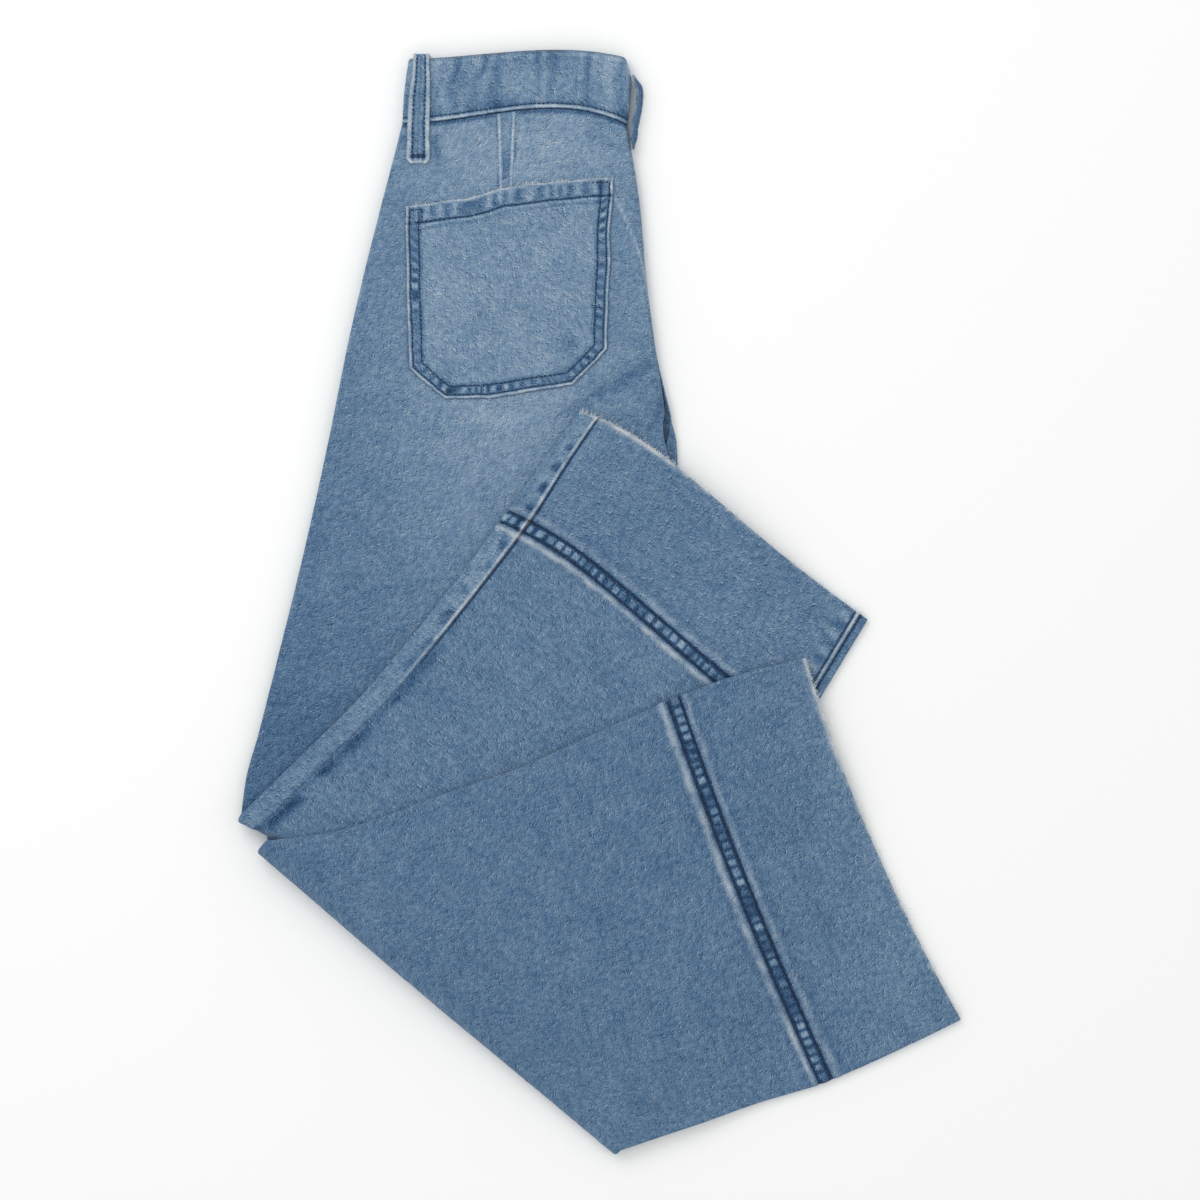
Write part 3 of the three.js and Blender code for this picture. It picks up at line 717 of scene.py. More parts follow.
def cut_edge(e, s, w, seed):
    """A hem cut raw: rubbed bare at the very edge. e is the distance from it."""
    worn = bump(w, 45, 45)
    e = e / (1 + 0.8 * worn)
    lively = smooth(-0.7, 0.8, patches(s, e * 0, 5.0, seed)) * (0.6 + 0.4 * patches(s, e * 0, 40.0, seed))
    lively = np.clip(0.55 * lively + 0.6 * worn, 0, 1)
    relief = 0.35 * worn * bump(e, 1.0, 0.8) - 0.25 * bump(e, 0, 1.2)
    return relief, 0.95 * lively * bump(e, 0, 1.5), 0.9 * lively * bump(e, 0, 1.3)


def dress(grid, wash, seed, cut=None):
    """Relief, tone, bare cotton and weave places for each point of a panel."""
    outer, mid = grid["outer"], (grid["outer"] + grid["inner"]) / 2
    along, across = lengths(mid, 0), lengths(mid, 1)
    tone, raw = wash(outer[..., 0], outer[..., 1]), np.zeros(along.shape)
    relief = 0.09 * patches(across, along, 8.0, seed) + 0.05 * patches(across, along, 4.0, seed + 1)
    seam = grid["seam"]
    parts = [(abs(seam) < 40, hem_seam(seam, grid["w"], seed + 2))]
    front = (grid["r"] < 0) & (grid["turned"] > 0.3)
    to_hem = grid["seam"] if seam.max() > -900 else along * 0
    w = grid["w"] / band_taper(grid["u"])
    parts.append((front, front_seams(w, grid["width"] - grid["w"], along, to_hem, seed + 3)))
    if cut is not None:
        parts.append((np.full(along.shape, True), cut_edge(along[-1:] - along, across, grid["w"], seed + 9)))
    # Painted shadow: a dark line along the top of the trunk panel, where the waistband's lower edge
    # overhangs it.
    tone -= 1.2 * (grid["turned"] == 0) * bump(along, 0.8, 1.3)
    for where, (height, shade, bare) in parts:
        relief, tone, raw = relief + where * height, tone + where * shade, raw + where * bare
    return relief, tone, raw, np.stack([across + 400 * (seed % 7), along], -1)


print("seam centre:", [x.round(2) for x in hem_seam(np.zeros(1), np.zeros(1), 5)])

# %% [markdown]
# ## The back panels
# Each back panel is one piece of cloth from the waist to the hem seam. The left one shows its back on
# the seat and thigh, goes round the knee fold, and shows only its two returned edges on the left
# shin. The right one shows its back on the right shin, which lies on top of everything.

# %% Back panels


def panel(name, leg, stations, section, across, wash, seed, outer_side=1):
    grid = leg_grid(leg, stations, section, across, outer_side)
    relief, tone, raw, weave = dress(grid, wash, seed)
    outer = raise_face(grid, relief)
    cloth(name, outer, grid["inner"], tone, raw, weave)
    print(name, grid["w"].shape, "points,", 4 * grid["w"].size, "triangles")
    return grid, outer


back_left_rows = trunk_rows(LEFT, 0.01, 2.7) + fold_rows(LEFT) + flap_rows(LEFT, 4.0)
back_left_grid, back_left_face = panel(
    "back_left_cloth", LEFT, back_left_rows, back_section, 100, seat_wash_and_shade, 20)
back_right_rows = trunk_rows(RIGHT, 0.01, HIDDEN) + fold_rows(RIGHT) + flap_rows(RIGHT, 2.2)
back_right_grid, back_right_face = panel(
    "back_right_cloth", RIGHT, back_right_rows, back_section, 135, right_shin_wash, 30)

# %% [markdown]
# ## The front panels
# The fronts show only where a shin is turned over: the left front is the cloth of the left shin. The
# part inside the trunk is in the hidden layers.

# %% Front panels
front_start = KNEE + 0.02
front_left_rows = trunk_rows(LEFT, front_start, HIDDEN) + fold_rows(LEFT) + flap_rows(LEFT, 2.1)
front_left_grid, front_left_face = panel(
    "front_left_cloth", LEFT, front_left_rows, front_section, 130, left_shin_wash, 40, -1)
front_right_rows = trunk_rows(RIGHT, front_start, HIDDEN) + fold_rows(RIGHT) + flap_rows(RIGHT, HIDDEN)
front_right_grid, front_right_face = panel(
    "front_right_cloth", RIGHT, front_right_rows, front_section, 40, right_shin_wash, 50, -1)

# %% [markdown]
# ## The hem bands
# A deep band is sewn on at the bottom of each leg with two rows of stitches, and its lower edge is cut
# raw. It goes all round the leg, so its grid is a closed ring.

# %% Hem bands


def hem_band(name, leg, across, wash, seed):
    mean = seam_speed(leg["flap"], np.array([0.5]))[0]
    fine = HEM_SEAM + np.arange(STITCH_ROWS, SEAM_REACH, SEAM_STEP) / mean
    last = rows_between(leg["flap"], fine[-1], leg["flap"].last, 2.3)
    near = leg["flap"].last - np.array([2.4, 1.6, 0.8, 0.0]) / mean
    u = [*fine, *last[last < near[0] - 0.02], *near]
    grid = leg_grid(leg, [(math.pi, float(k)) for k in u], hem_section, across, 1, True)
    relief, tone, raw, weave = dress(grid, wash, seed, cut=True)
    outer = raise_face(grid, relief)
    cloth(name, outer, grid["inner"], tone, raw, weave, closed=True, roll=0.1)
    print(name, grid["w"].shape, "points,", 4 * grid["w"].size, "triangles")
    return grid, outer


hem_left_grid, hem_left_face = hem_band(
    "hem_left_cloth", LEFT, (50, 150), left_shin_wash, 60)
hem_right_grid, hem_right_face = hem_band(
    "hem_right_cloth", RIGHT, (160, 50), right_shin_wash, 70)

# %% [markdown]
# ## The waistband
# The band is a folded strip, 2 mm thick and closed in a ring. Folded in half, the ring runs along the
# left back, round the centre back, along the right back, and inside along both fronts.

# %% Waistband
BAND_PITCH = BAND_WALL + GAP
BAND_BOTTOM = LOOP_WALL + 0.5
BAND_TOP = BAND_BOTTOM + 4 * BAND_WALL + 3 * GAP


def band_section(width):
    def layer(k):
        return BAND_BOTTOM + BAND_WALL / 2 + k * BAND_PITCH

    left = BAND_WALL / 2 + BAND_PITCH / 2
    centre_back = width - BAND_WALL / 2 - 1.5 * BAND_PITCH
    centre_front = centre_back - BAND_PITCH / 2
    return np.concatenate([
        arc(left, layer(2.5), BAND_PITCH / 2, 270, 90, 8),
        level(left, centre_back, layer(3), 105)[1:-1],
        arc(centre_back, layer(1.5), 1.5 * BAND_PITCH, 90, -90, 18),
        level(centre_back, left, layer(0), 30)[1:-1],
        arc(left, layer(0.5), BAND_PITCH / 2, 270, 90, 8),
        level(left, centre_front, layer(1), 24)[1:-1],
        arc(centre_front, layer(1.5), BAND_PITCH / 2, -90, 90, 8),
        level(centre_front, left, layer(2), 24)[1:-1]])


def band_grid(rows):
    faces = {1: [], -1: []}
    for u in rows:
        width = float(band_run.width(u))
        line = band_section(width)
        for side in (1, -1):
            across, z = offset(line, side * BAND_WALL / 2, True).T
            p = band_run.line(np.full(len(line), u), np.clip(across / width, 0, 1))
            faces[side].append(np.concatenate([p, z[:, None]], 1))
    return np.array(faces[1]), np.array(faces[-1])


BAND_STITCH = 4.3
ends = np.array([0, 0.5, 1.1, 1.8, 2.6, 3.4, 4.3, 5.2]) / 16.5
band_rows = np.concatenate([0.02 + ends, np.linspace(0.4, 2.6, 22), 3.0 - ends[::-1]])
band_outer, band_inner = band_grid(band_rows)
up, round_it = lengths(band_outer, 0), lengths(band_outer, 1)
down = up[-1:] - up
lively = 0.8 + 0.4 * patches(round_it, up * 0, 8.0, 80)
band_relief = 0.5 * bump(up, 1.6, 1.2) - 0.35 * bump(up, BAND_STITCH, 0.8) - 0.5 * bump(up, 0, 0.7)
band_relief += 0.3 * bump(down, 2.2, 1.6) - 0.6 * bump(down, 0, 1.0) + 0.22 * patches(round_it, up, 11.0, 81)
wrinkle = patches(round_it + 4 * patches(round_it, up, 20.0, 86), up * 0.12, 5.0, 84)
band_relief += 0.3 * patches(round_it, up * 0.3, 9.0, 85) + 0.22 * wrinkle
band_tone = 0.52 + 0.14 * patches(round_it, up, 18.0, 82) + 0.16 * patches(round_it, up * 0.5, 7.0, 83)
band_tone += 0.3 * smooth(0.1, 0.7, wrinkle) - 0.42 * smooth(0.15, 0.75, -wrinkle)
# Along the band's lower edge: a pale rubbed fold, then a painted shadow line right at the edge where it
# meets the panel; the dark row at BAND_STITCH is the stitches.
band_tone += lively * bump(up, 1.7, 0.95) - 1.8 * bump(up, 0, 0.75) - 1.0 * bump(up, BAND_STITCH, 0.8)
band_tone += 0.3 * bump(down, 3.4, 1.3) - 1.1 * bump(down, 0.2, 1.1)
band_tone -= 0.35 * bump(up, 7.5, 2.5) * smooth(0, 0.6, patches(round_it, up * 0, 16.0, 87))
band_raw = 0.22 * lively * bump(up, 1.7, 0.8) + 0.2 * bump(down, 0.6, 0.7)
out = band_outer - band_inner
out /= np.linalg.norm(out, axis=-1)[..., None]
band_face = band_outer + out * band_relief[..., None]
cloth("waistband_cloth", band_face, band_inner, band_tone, band_raw,
      np.stack([round_it + 90, up], -1), closed=True)
print("waistband:", band_face.shape)

# %% [markdown]
# ## Patch pockets
# A back pocket is a patch with its edges pressed under, sewn on with two rows down the sides and
# round the bottom, and one row across its hem. Its grid is rings that run parallel to its outline, so
# the stitch lines are crisp, and the rings close up towards its middle.

# %% Pockets
POCKET_OUTLINE = np.array([
    (-144, 293), (-99, 298.5), (-73, 306), (-50, 309), (-24, 312), (10, 314.5),
    (7.5, 255), (5, 187.5), (-20, 161), (-81, 151), (-114, 151), (-141.5, 173.5), (-143, 228)], float)
POCKET_TOP_LINE = POCKET_OUTLINE[:6]
POCKET_SIDE_LINE = np.concatenate([POCKET_OUTLINE[5:], POCKET_OUTLINE[:1]])
SIDE_STITCHES, POCKET_HEM = (3.0, 9.5), 13.0


def inset(shape, distance):
    """A clockwise outline moved inwards, with its corners mitred."""
    into = shape - np.roll(shape, 1, axis=0)
    out = np.roll(shape, -1, axis=0) - shape
    into /= np.linalg.norm(into, axis=1)[:, None]
    out /= np.linalg.norm(out, axis=1)[:, None]
    inward = np.stack([into[:, 1], -into[:, 0]], 1) + np.stack([out[:, 1], -out[:, 0]], 1)
    return shape + 2 * distance * inward / (inward**2).sum(1)[:, None]


def along_outline(shape, step):
    """Points about step apart, as fractions of each side, so that insets match."""
    sides = np.linalg.norm(np.roll(POCKET_OUTLINE, -1, axis=0) - POCKET_OUTLINE, axis=1)
    after = np.roll(shape, -1, axis=0)
    return np.concatenate([
        a + (b - a) * np.linspace(0, 1, max(2, round(side / step)), endpoint=False)[:, None]
        for a, b, side in zip(shape, after, sides)])


def pocket_marks(p, s):
    """Relief, tone and bare cotton of a pocket at plan points p, with s along its outline."""
    side, top = to_line(p, POCKET_SIDE_LINE), to_line(p, POCKET_TOP_LINE)
    lively = 0.8 + 0.5 * patches(s, side * 0, 7.0, 91)
    sewn = smooth(3.6, 4.6, side) * (1 - smooth(8.0, 9.0, side)) * smooth(11, 14, top)
    puff = np.sin(2 * math.pi * (s / 8.6 + 0.7 * patches(s, side * 0, 19.0, 92)))
    puff *= 0.85 + 0.7 * patches(s, side * 0, 23.0, 90)
    hem = smooth(1.5, 3.0, top) * (1 - smooth(10.5, 12.0, top))
    along_hem = p[..., 0]
    hem_puff = np.sin(2 * math.pi * (along_hem / 11.5 + 0.7 * patches(along_hem, top * 0, 21.0, 93)))
    grooves = bump(side, SIDE_STITCHES[0], 0.75) + 0.8 * bump(side, SIDE_STITCHES[1], 0.85)
    hem_groove = bump(top, POCKET_HEM, 0.85)
    body = smooth(9, 14, side) * smooth(13, 17, top)
    relief = 0.55 * bump(side, 1.3, 1.0) - 0.25 * bump(side, 0, 0.5) - 0.4 * grooves - 0.4 * hem_groove
    relief += 0.3 * bump(top, 1.0, 1.0) + 0.28 * sewn * puff + 0.25 * hem * hem_puff + 0.3 * hem
    relief += 0.4 * bump(top, 14.9, 1.2) + 0.45 * body + 0.15 * sewn
    tone = 0.56 + 0.12 * body + 0.75 * lively * bump(side, 1.2, 0.85) - 1.35 * grooves - 1.5 * hem_groove
    # Painted shadow: a thin dark line along the pocket's outer edge, where the patch stands off the panel.
    tone -= 0.9 * bump(side, 0, 0.45)
    tone += 0.6 * lively * bump(top, 0.6, 1.1) + sewn * (0.68 * puff - 0.42) + hem * (0.5 * hem_puff - 0.14)
    # A pale rubbed line on the ridge below the hem stitches, then painted shade: a soft dark band below that
    # ridge and inside the side stitch rows.
    tone += 0.42 * bump(top, 14.9, 0.9) - 0.4 * bump(top, 17.2, 1.6) - 0.32 * bump(side, 11.2, 1.2)
    tone -= 0.5 * bump(np.hypot(p[..., 0] + 22, p[..., 1] - 192), 0, 7) * body
    tone -= 0.28 * bump(np.hypot(p[..., 0] + 112, p[..., 1] - 170), 0, 6)
    x, y = p[..., 0] + 300, p[..., 1]
    tone += 0.1 * patches(x, y, 16.0, 94) + 0.06 * patches(x, y, 30.0, 95)
    raw = 0.28 * lively * bump(side, 1.2, 0.7) + 0.35 * lively * bump(top, 0.4, 0.8)
    return relief, tone, raw


def hand_laid(plan):
    """Plan points moved by up to a millimetre, because no pocket is sewn on quite straight."""
    x, y = plan[..., 0] + 300, plan[..., 1] + 300
    shift = np.stack([patches(x, y, 24.0, 96), patches(x, y, 21.0, 97)], -1)
    return plan + 0.8 * shift + 0.25 * np.stack([patches(x, y, 7.0, 98), patches(x, y, 7.0, 99)], -1)


def pocket(name, underside, patch_side, step, insets, inwards):
    """underside is the height of the face that lies on the leg, and patch_side is 1 up or -1 down."""
    rings = [along_outline(inset(POCKET_OUTLINE, d), step) for d in insets]
    middle = np.array([-68.0, 232.0])
    rings += [rings[-1] + (middle - rings[-1]) * t for t in inwards]
    plan = np.array(rings)
    around = np.cumsum(np.linalg.norm(np.diff(plan[0], axis=0, prepend=plan[:1, 0]), axis=1))
    relief, tone, raw = pocket_marks(plan, np.broadcast_to(around, plan.shape[:2]))
    relief = relief if patch_side > 0 else relief * 0
    laid = hand_laid(plan)
    top = np.concatenate([laid, (underside + patch_side * (POCKET_WALL + relief))[..., None]], -1)
    bottom = np.concatenate([laid, np.full(plan.shape[:2] + (1,), underside)], -1)
    cloth(name, top, bottom, tone, raw, plan + (900, 0), closed=True, roll=0.15, capped=True)
    print(name, plan.shape, "points")


EDGE_RINGS = [0, 0.4, 0.8, 1.3, 1.9, 2.4, 3.0, 3.6, 4.3, 5.2, 6.1, 7.0, 7.8, 8.6, 9.1, 9.5, 10.0, 10.7,
              11.5, 12.2, 13.0, 13.8, 14.9, 16.0, 17.5, 19.5]
pocket("pocket_left_cloth", TRUNK_TOP + GAP, 1, 1.6, EDGE_RINGS, np.linspace(0.035, 1, 27))
pocket("pocket_right_cloth", POCKET_WALL, -1, 5.0, EDGE_RINGS[::5], np.linspace(0.2, 1, 5))

# %% [markdown]
# ## Belt loops
# A loop is a folded strip with a raised edge down each side. A side loop is sewn to the panel below
# the band and goes over the band. The centre back loop lies on the fold, so from above it is seen on
# edge, standing off like a handle.

# %% Belt loops
SIDE_LOOP_X, LOOP_FOOT, LOOP_TOP = -133.5, 325.0, 405.4


def loop_cloth(name, marks, face_side, lay, worn=1.0):
    """marks are [along, height] down the middle of the loop; lay turns across, along, height to a point."""
    path = french_curve(marks, np.linspace(0, len(marks) - 1, 260))
    path = path[np.searchsorted(lengths(path[:, None], 0)[:, 0], np.arange(0, 200, 0.85)).clip(max=259)]
    path = path[np.r_[True, np.linalg.norm(np.diff(path, axis=0), axis=1) > 0]]
    across = np.linspace(-LOOP_WIDTH / 2, LOOP_WIDTH / 2, 22)
    e, s = np.meshgrid(across, lengths(path[:, None], 0)[:, 0])
    end = s.max() - s
    lively = 0.8 + 0.5 * patches(s + 40, e * 0, 6.0, 101)
    relief = 0.5 * bump(abs(e), 6.2, 1.5) - 0.35 * bump(abs(e), 3.9, 0.9)
    relief += 0.16 * patches(s, e + 40, 5.0, 102) + 0.35 * bump(s, 1.2, 1.2)
    relief -= 0.3 * bump(s, 5.2, 1.2) + 0.25 * bump(e, 0, 1.0)
    tone = 0.5 * worn + 1.05 * worn * lively * bump(abs(e), 6.3, 1.8) - 0.85 * bump(abs(e), 3.7, 0.9)
    tone += 0.1 * lively - 0.25 * bump(e, 0, 1.1) + 0.25 * patches(s, e * 0.6 + 20, 6.0, 103)
    # A pale rubbed foot, the dark bar tack, and painted shade at the loop's far end, where it turns over.
    tone += 0.7 * bump(s, 1.0, 1.3) - 0.8 * bump(s, 5.2, 1.3) * (abs(e) < 5.5) - 0.4 * bump(end, 0, 1.5)
    raw = worn * (0.25 * lively * bump(abs(e), 6.9, 1.1) + 0.3 * bump(s, 0.6, 1.0))
    faces = []
    for side, extra in ((1, relief), (-1, relief * 0)):
        line = offset(path, side * face_side * LOOP_WALL / 2)
        normal = offset(path, face_side) - path
        a = line[:, 0][:, None] + normal[:, 0][:, None] * extra
        h = line[:, 1][:, None] + normal[:, 1][:, None] * extra
        faces.append(lay(e, a, h))
    return cloth(name, faces[0], faces[1], tone, raw, np.stack([e + 700, s], -1))


def over_band(across, along, height):
    """A side loop narrows a little as it goes up, and leans."""
    pinch = smooth(370, 402, along)
    narrow = 1.06 - 0.0014 * (along - LOOP_FOOT) - 0.3 * bump(along, LOOP_FOOT, 2.0) - 0.2 * pinch
    narrow = narrow + 0.07 * bump(along, LOOP_FOOT + 6, 6)
    sway = 0.02 * (along - 365) + 1.3 * pinch + 0.6 * patches(along, across * 0 + 9, 16.0, 104)
    x = SIDE_LOOP_X + across * narrow + sway
    return np.stack([x, along, height], -1)


on_panel, on_band = TRUNK_TOP + GAP + LOOP_WALL / 2, BAND_TOP + GAP + LOOP_WALL / 2
upper_marks = [(LOOP_FOOT, on_panel), (337, on_panel + 0.5), (349, on_panel + 0.7), (356, on_band + 0.5),
               (380, on_band + 0.8), (398, on_band + 0.4), (LOOP_TOP - 1.6, on_band - 0.3),
               (LOOP_TOP, on_band - 2.4)]
lower_marks = [(LOOP_FOOT, 0.5), (349, 0.5), (390, 0.5), (LOOP_TOP - 2, 0.6), (LOOP_TOP, 2.2)]
loop_left = loop_cloth("belt_loop_left_cloth", upper_marks, 1, over_band)
loop_right = loop_cloth("belt_loop_right_cloth", lower_marks, -1, over_band)

CENTRE_LOOP = [(23.6, 390), (26.8, 385), (28.6, 377), (27.8, 366), (25.0, 352), (23.8, 336)]


def on_edge(across, x, y):
    """It leans back over the fold in its middle, so a little of its face shows from above."""
    middle, reach = (BAND_BOTTOM + BAND_TOP) / 2, (BAND_TOP - BAND_BOTTOM) / 2 - 0.5
    side = across / (LOOP_WIDTH / 2)
    lean = 2.3 * smooth(336, 346, y) * (1 - smooth(382, 390, y))
    return np.stack([x + 0.6 - lean * side, y, middle + side * reach], -1)


loop_back = loop_cloth("belt_loop_back_cloth", CENTRE_LOOP, 1, on_edge, worn=0.25)
print("loops:", [len(o.data.vertices) for o in (loop_left, loop_right, loop_back)])

# %% [markdown]
# ## The dart under the waistband
# Above each back pocket a dart is sewn flat, with a narrow welt that tapers towards the pocket. It is
# laid on the back panel as a thin strip whose sides sink into the cloth.

# %% Darts
DART_PATTERN = 54.0  # millimetres of pattern from one line of the trunk to the next


def dart(name, leg):
    u = np.linspace(0.02, 1.04, 52)
    e = np.linspace(-9.5, 9.5, 29)
    e_grid, u_grid = np.meshgrid(e, u)
    width = leg["trunk"].width(u_grid)
    w = width * (0.462 + 0.016 * u_grid) + e_grid
    s = u_grid * DART_PATTERN
    half = 5.7 - 2.2 * u_grid
    lively = 0.85 + 0.4 * patches(s, e_grid * 0, 6.0, 111)
    welt = bump(abs(e_grid), half, 0.9) * lively
    inside = 1 - smooth(-0.8, 0.8, abs(e_grid) - half + 1.6)
    blotch = patches(s, e_grid * 0.5 + 60, 6.5, 112)
    sunk = smooth(7.5, 9.5, abs(e_grid))
    relief = 0.12 + 0.5 * welt + 0.12 * inside * blotch - 0.6 * sunk
    relief -= 0.12 * bump(abs(e_grid), half + 1.9, 0.8)
    lift = HALF_LEG + WALL / 2
    outer = place(leg, 0, u_grid, w, leg["back"] * (lift + relief))
    inner = place(leg, 0, u_grid, w, leg["back"] * np.full_like(relief, lift - 1.0))
    tone = seat_wash_and_shade(outer[..., 0], outer[..., 1]) + 0.75 * welt - 0.85 * bump(abs(e_grid), half + 1.8, 0.8)
    tone += inside * (-0.15 - 0.6 * smooth(-0.1, 0.5, blotch)) - 0.25 * bump(abs(e_grid), half - 1.7, 0.7)
    cloth(name, outer, inner, tone, 0.12 * welt, np.stack([w + 20, s], -1))
    print(name, outer.shape)


dart("dart_left_cloth", LEFT)
dart("dart_right_cloth", RIGHT)

# %% [markdown]
# ## Hidden layers
# Both fronts lie inside the trunk. They share one rounded solid, grooved at its edges where its two
# layers meet.

# %% Hidden layers


def hidden_ring(u):
    bottom, corner, groove = WALL + GAP, 2.0, 4.0
    top = 2 * TRUNK_MIDDLE - bottom
    width = float(left_trunk.width(u))
    shift = float(np.linalg.norm(left_trunk.ends(u)[0] - right_trunk.ends(u)[0]))
    left, right = OUTSEAM_RETURN + 2 * GAP, width - INSEAM_RETURN - 2 * GAP

    def lobes(edge, side, lower):
        return np.array([
            (edge + lower - side * corner, bottom), (edge + lower, bottom + corner / 2),
            (edge + lower, TRUNK_MIDDLE - corner / 4), (edge + lower - side * groove, TRUNK_MIDDLE),
            (edge, TRUNK_MIDDLE + corner / 4), (edge, top - corner / 2), (edge - side * corner, top)])

    centre = arc(width - WALL / 2 - HALF_LEG - LAYER / 2, TRUNK_MIDDLE, TRUNK_MIDDLE - bottom, -90, 90, 6)
    below = float(smooth(CROTCH - 1, CROTCH, u))
    ring = np.concatenate([centre * (1 - below) + lobes(right, 1, 0) * below, lobes(left, -1, shift)[::-1]])
    p = left_trunk.line(np.full(len(ring), u), ring[:, 0] / width)
    return np.concatenate([p, (ring[:, 1] + hip_rise(p))[:, None]], 1)


rings = np.array([hidden_ring(u) for u in np.linspace(0.02, KNEE, 40)])
ring_size = rings.shape[1]
index = np.arange(rings.shape[0] * ring_size).reshape(-1, ring_size)
sides = [list(face) for face in grid_faces(index, True)]
layers_points = rings.reshape(-1, 3)
hidden = make_mesh("hidden_layers_cloth", settle(layers_points),
                   [*sides, list(index[0]), list(index[-1][::-1])],
                   seat_wash_and_shade(layers_points[:, 0], layers_points[:, 1]) - 0.3,
                   np.zeros(len(layers_points)), layers_points[:, :2] + 300)
bpy.context.view_layer.objects.active = hidden
solid = bmesh.new()
solid.from_mesh(hidden.data)
bmesh.ops.recalc_face_normals(solid, faces=solid.faces)
solid.to_mesh(hidden.data)
solid.free()
print("hidden layers:", rings.shape)

# %% [markdown]
# ## Stitches
# A lockstitch shows as a row of short dashes, each about 2.5 mm long, that sink at both ends. One
# dash is a slim bead with few faces. It is copied along each row, turned to the row and to the cloth.

# %% Stitches
STITCH_PITCH, STITCH_RADIUS = 3.3, 0.55


def bead():
    """A slim bead from -1 to 1 along x, five-sided."""
    turn = np.linspace(0, 2 * math.pi, 6)[:-1]
    rings = [(x, r) for x, r in ((-0.8, 0.7), (0.0, 1.0), (0.8, 0.7))]
    points = [(-1, 0, -0.2)] + [(x, r * math.cos(t), r * math.sin(t)) for x, r in rings for t in turn]
    points.append((1, 0, -0.2))
    faces = [(0, 1 + (k + 1) % 5, 1 + k) for k in range(5)]
    for ring in (0, 1):
        base = 1 + 5 * ring
        faces += [(base + k, base + (k + 1) % 5, base + 5 + (k + 1) % 5) for k in range(5)]
        faces += [(base + k, base + 5 + (k + 1) % 5, base + 5 + k) for k in range(5)]
    faces += [(11 + k, 11 + (k + 1) % 5, 16) for k in range(5)]
    return np.array(points, float), np.array(faces)


def copies(name, shape, faces, origin, ahead, up, size):
    """One mesh from many copies of a shape. size is one row of three numbers for each copy."""
    ahead = ahead / np.linalg.norm(ahead, axis=1)[:, None]
    side = np.cross(up, ahead)
    side /= np.maximum(np.linalg.norm(side, axis=1), 1e-9)[:, None]
    axes = np.stack([ahead, side, np.cross(ahead, side)], 1)
    local = shape[None] * size[:, None]
    points = origin[:, None] + np.einsum("nki,nij->nkj", local, axes)
    count = len(shape)
    all_faces = (faces[None] + count * np.arange(len(origin))[:, None, None]).reshape(-1, faces.shape[1])
    points = points.reshape(-1, 3)
    points[:, 2] = np.maximum(points[:, 2], 0)
    zeros = np.zeros(len(points))
    return make_mesh(name, points, all_faces, zeros, zeros, points[:, :2])


def stitch_row(path, up, skip=0.0, seed=1):
    """Origins, directions, ups and sizes of the stitches along a path of board points."""
    along = lengths(path[:, None], 0)[:, 0]
    count = max(1, int((along[-1] - 2 * skip) / STITCH_PITCH))
    middle = skip + (np.arange(count) + 0.5) * (along[-1] - 2 * skip) / count
    jitter = np.random.default_rng(seed).normal(0, 1, (count, 3))
    at = [np.stack([np.interp(middle + step, along, path[:, k]) for k in range(3)], 1)
          for step in (-1.2, 0, 1.2)]
    ups = np.stack([np.interp(middle, along, up[:, k]) for k in range(3)], 1)
    ahead = at[2] - at[0] + 0.16 * jitter
    size = np.stack([1.25 + 0.1 * jitter[:, 0], np.full(count, STITCH_RADIUS), np.full(count, 0.36)], 1)
    return at[1] + 0.12 * ups + 0.05 * jitter, ahead, ups, size


def outward(face, inner):
    up = face - inner
    return up / np.maximum(np.linalg.norm(up, axis=-1), 1e-6)[..., None]


def sew(name, rows):
    parts = [np.concatenate(part) for part in zip(*rows)]
    return copies(name, *bead(), *parts)


def grid_row(grid, face, distance, seed):
    """A stitch row along the grid row that lies at a distance from the hem seam."""
    row = int(np.argmin(np.abs(np.median(grid["seam"], axis=1) - distance)))
    path, up = settle(face[row]), outward(face[row], grid["inner"][row])
    if grid["closed"]:
        path, up = np.concatenate([path, path[:1]]), np.concatenate([up, up[:1]])
    return stitch_row(path, up, 0.5, seed)


def column_row(grid, face, distance, seed):
    """A stitch row down a panel, at a distance from its inseam fold, on the turned part."""
    far = np.where(grid["r"] < 0, grid["width"] - grid["w"], 999.0)
    turned = grid["turned"][:, 0] > 0.99
    column = int(np.argmin(np.abs(far[-1] - distance)))
    return stitch_row(settle(face[turned, column]), outward(face, grid["inner"])[turned, column], 1, seed)


hem_rows_left = [
    grid_row(hem_left_grid, hem_left_face, STITCH_ROWS, 1),
    grid_row(back_left_grid, back_left_face, -STITCH_ROWS, 2),
    grid_row(front_left_grid, front_left_face, -STITCH_ROWS, 3),
    column_row(hem_left_grid, hem_left_face, 6.5, 4),
    column_row(back_left_grid, back_left_face, 6.5, 5)]
hem_rows_right = [
    grid_row(hem_right_grid, hem_right_face, STITCH_ROWS, 6),
    grid_row(back_right_grid, back_right_face, -STITCH_ROWS, 7),
    grid_row(front_right_grid, front_right_face, -STITCH_ROWS, 8)]
stitches = [sew("stitches_leg_left", hem_rows_left), sew("stitches_leg_right", hem_rows_right)]
print("stitches on the left leg:", len(stitches[0].data.vertices) // 17)

# %% [markdown]
# The pocket's rows run parallel to its outline. At each top corner the rows are crossed by a small
# box of stitches that takes the strain of a hand in the pocket.

# %% Stitches on the pocket, band and loops


def on_pocket(plan, seed):
    """A stitch row over plan points on the left pocket."""
    plan = np.concatenate([a + (b - a) * np.linspace(0, 1, 12, endpoint=False)[:, None]
                           for a, b in zip(plan, plan[1:])] + [plan[-1:]])
    height = TRUNK_TOP + GAP + POCKET_WALL + pocket_marks(plan, plan[:, 0])[0]
    path = settle(np.concatenate([hand_laid(plan), height[:, None]], 1))
    return stitch_row(path, np.tile([0.0, 0.0, 1.0], (len(path), 1)), 0.3, seed)


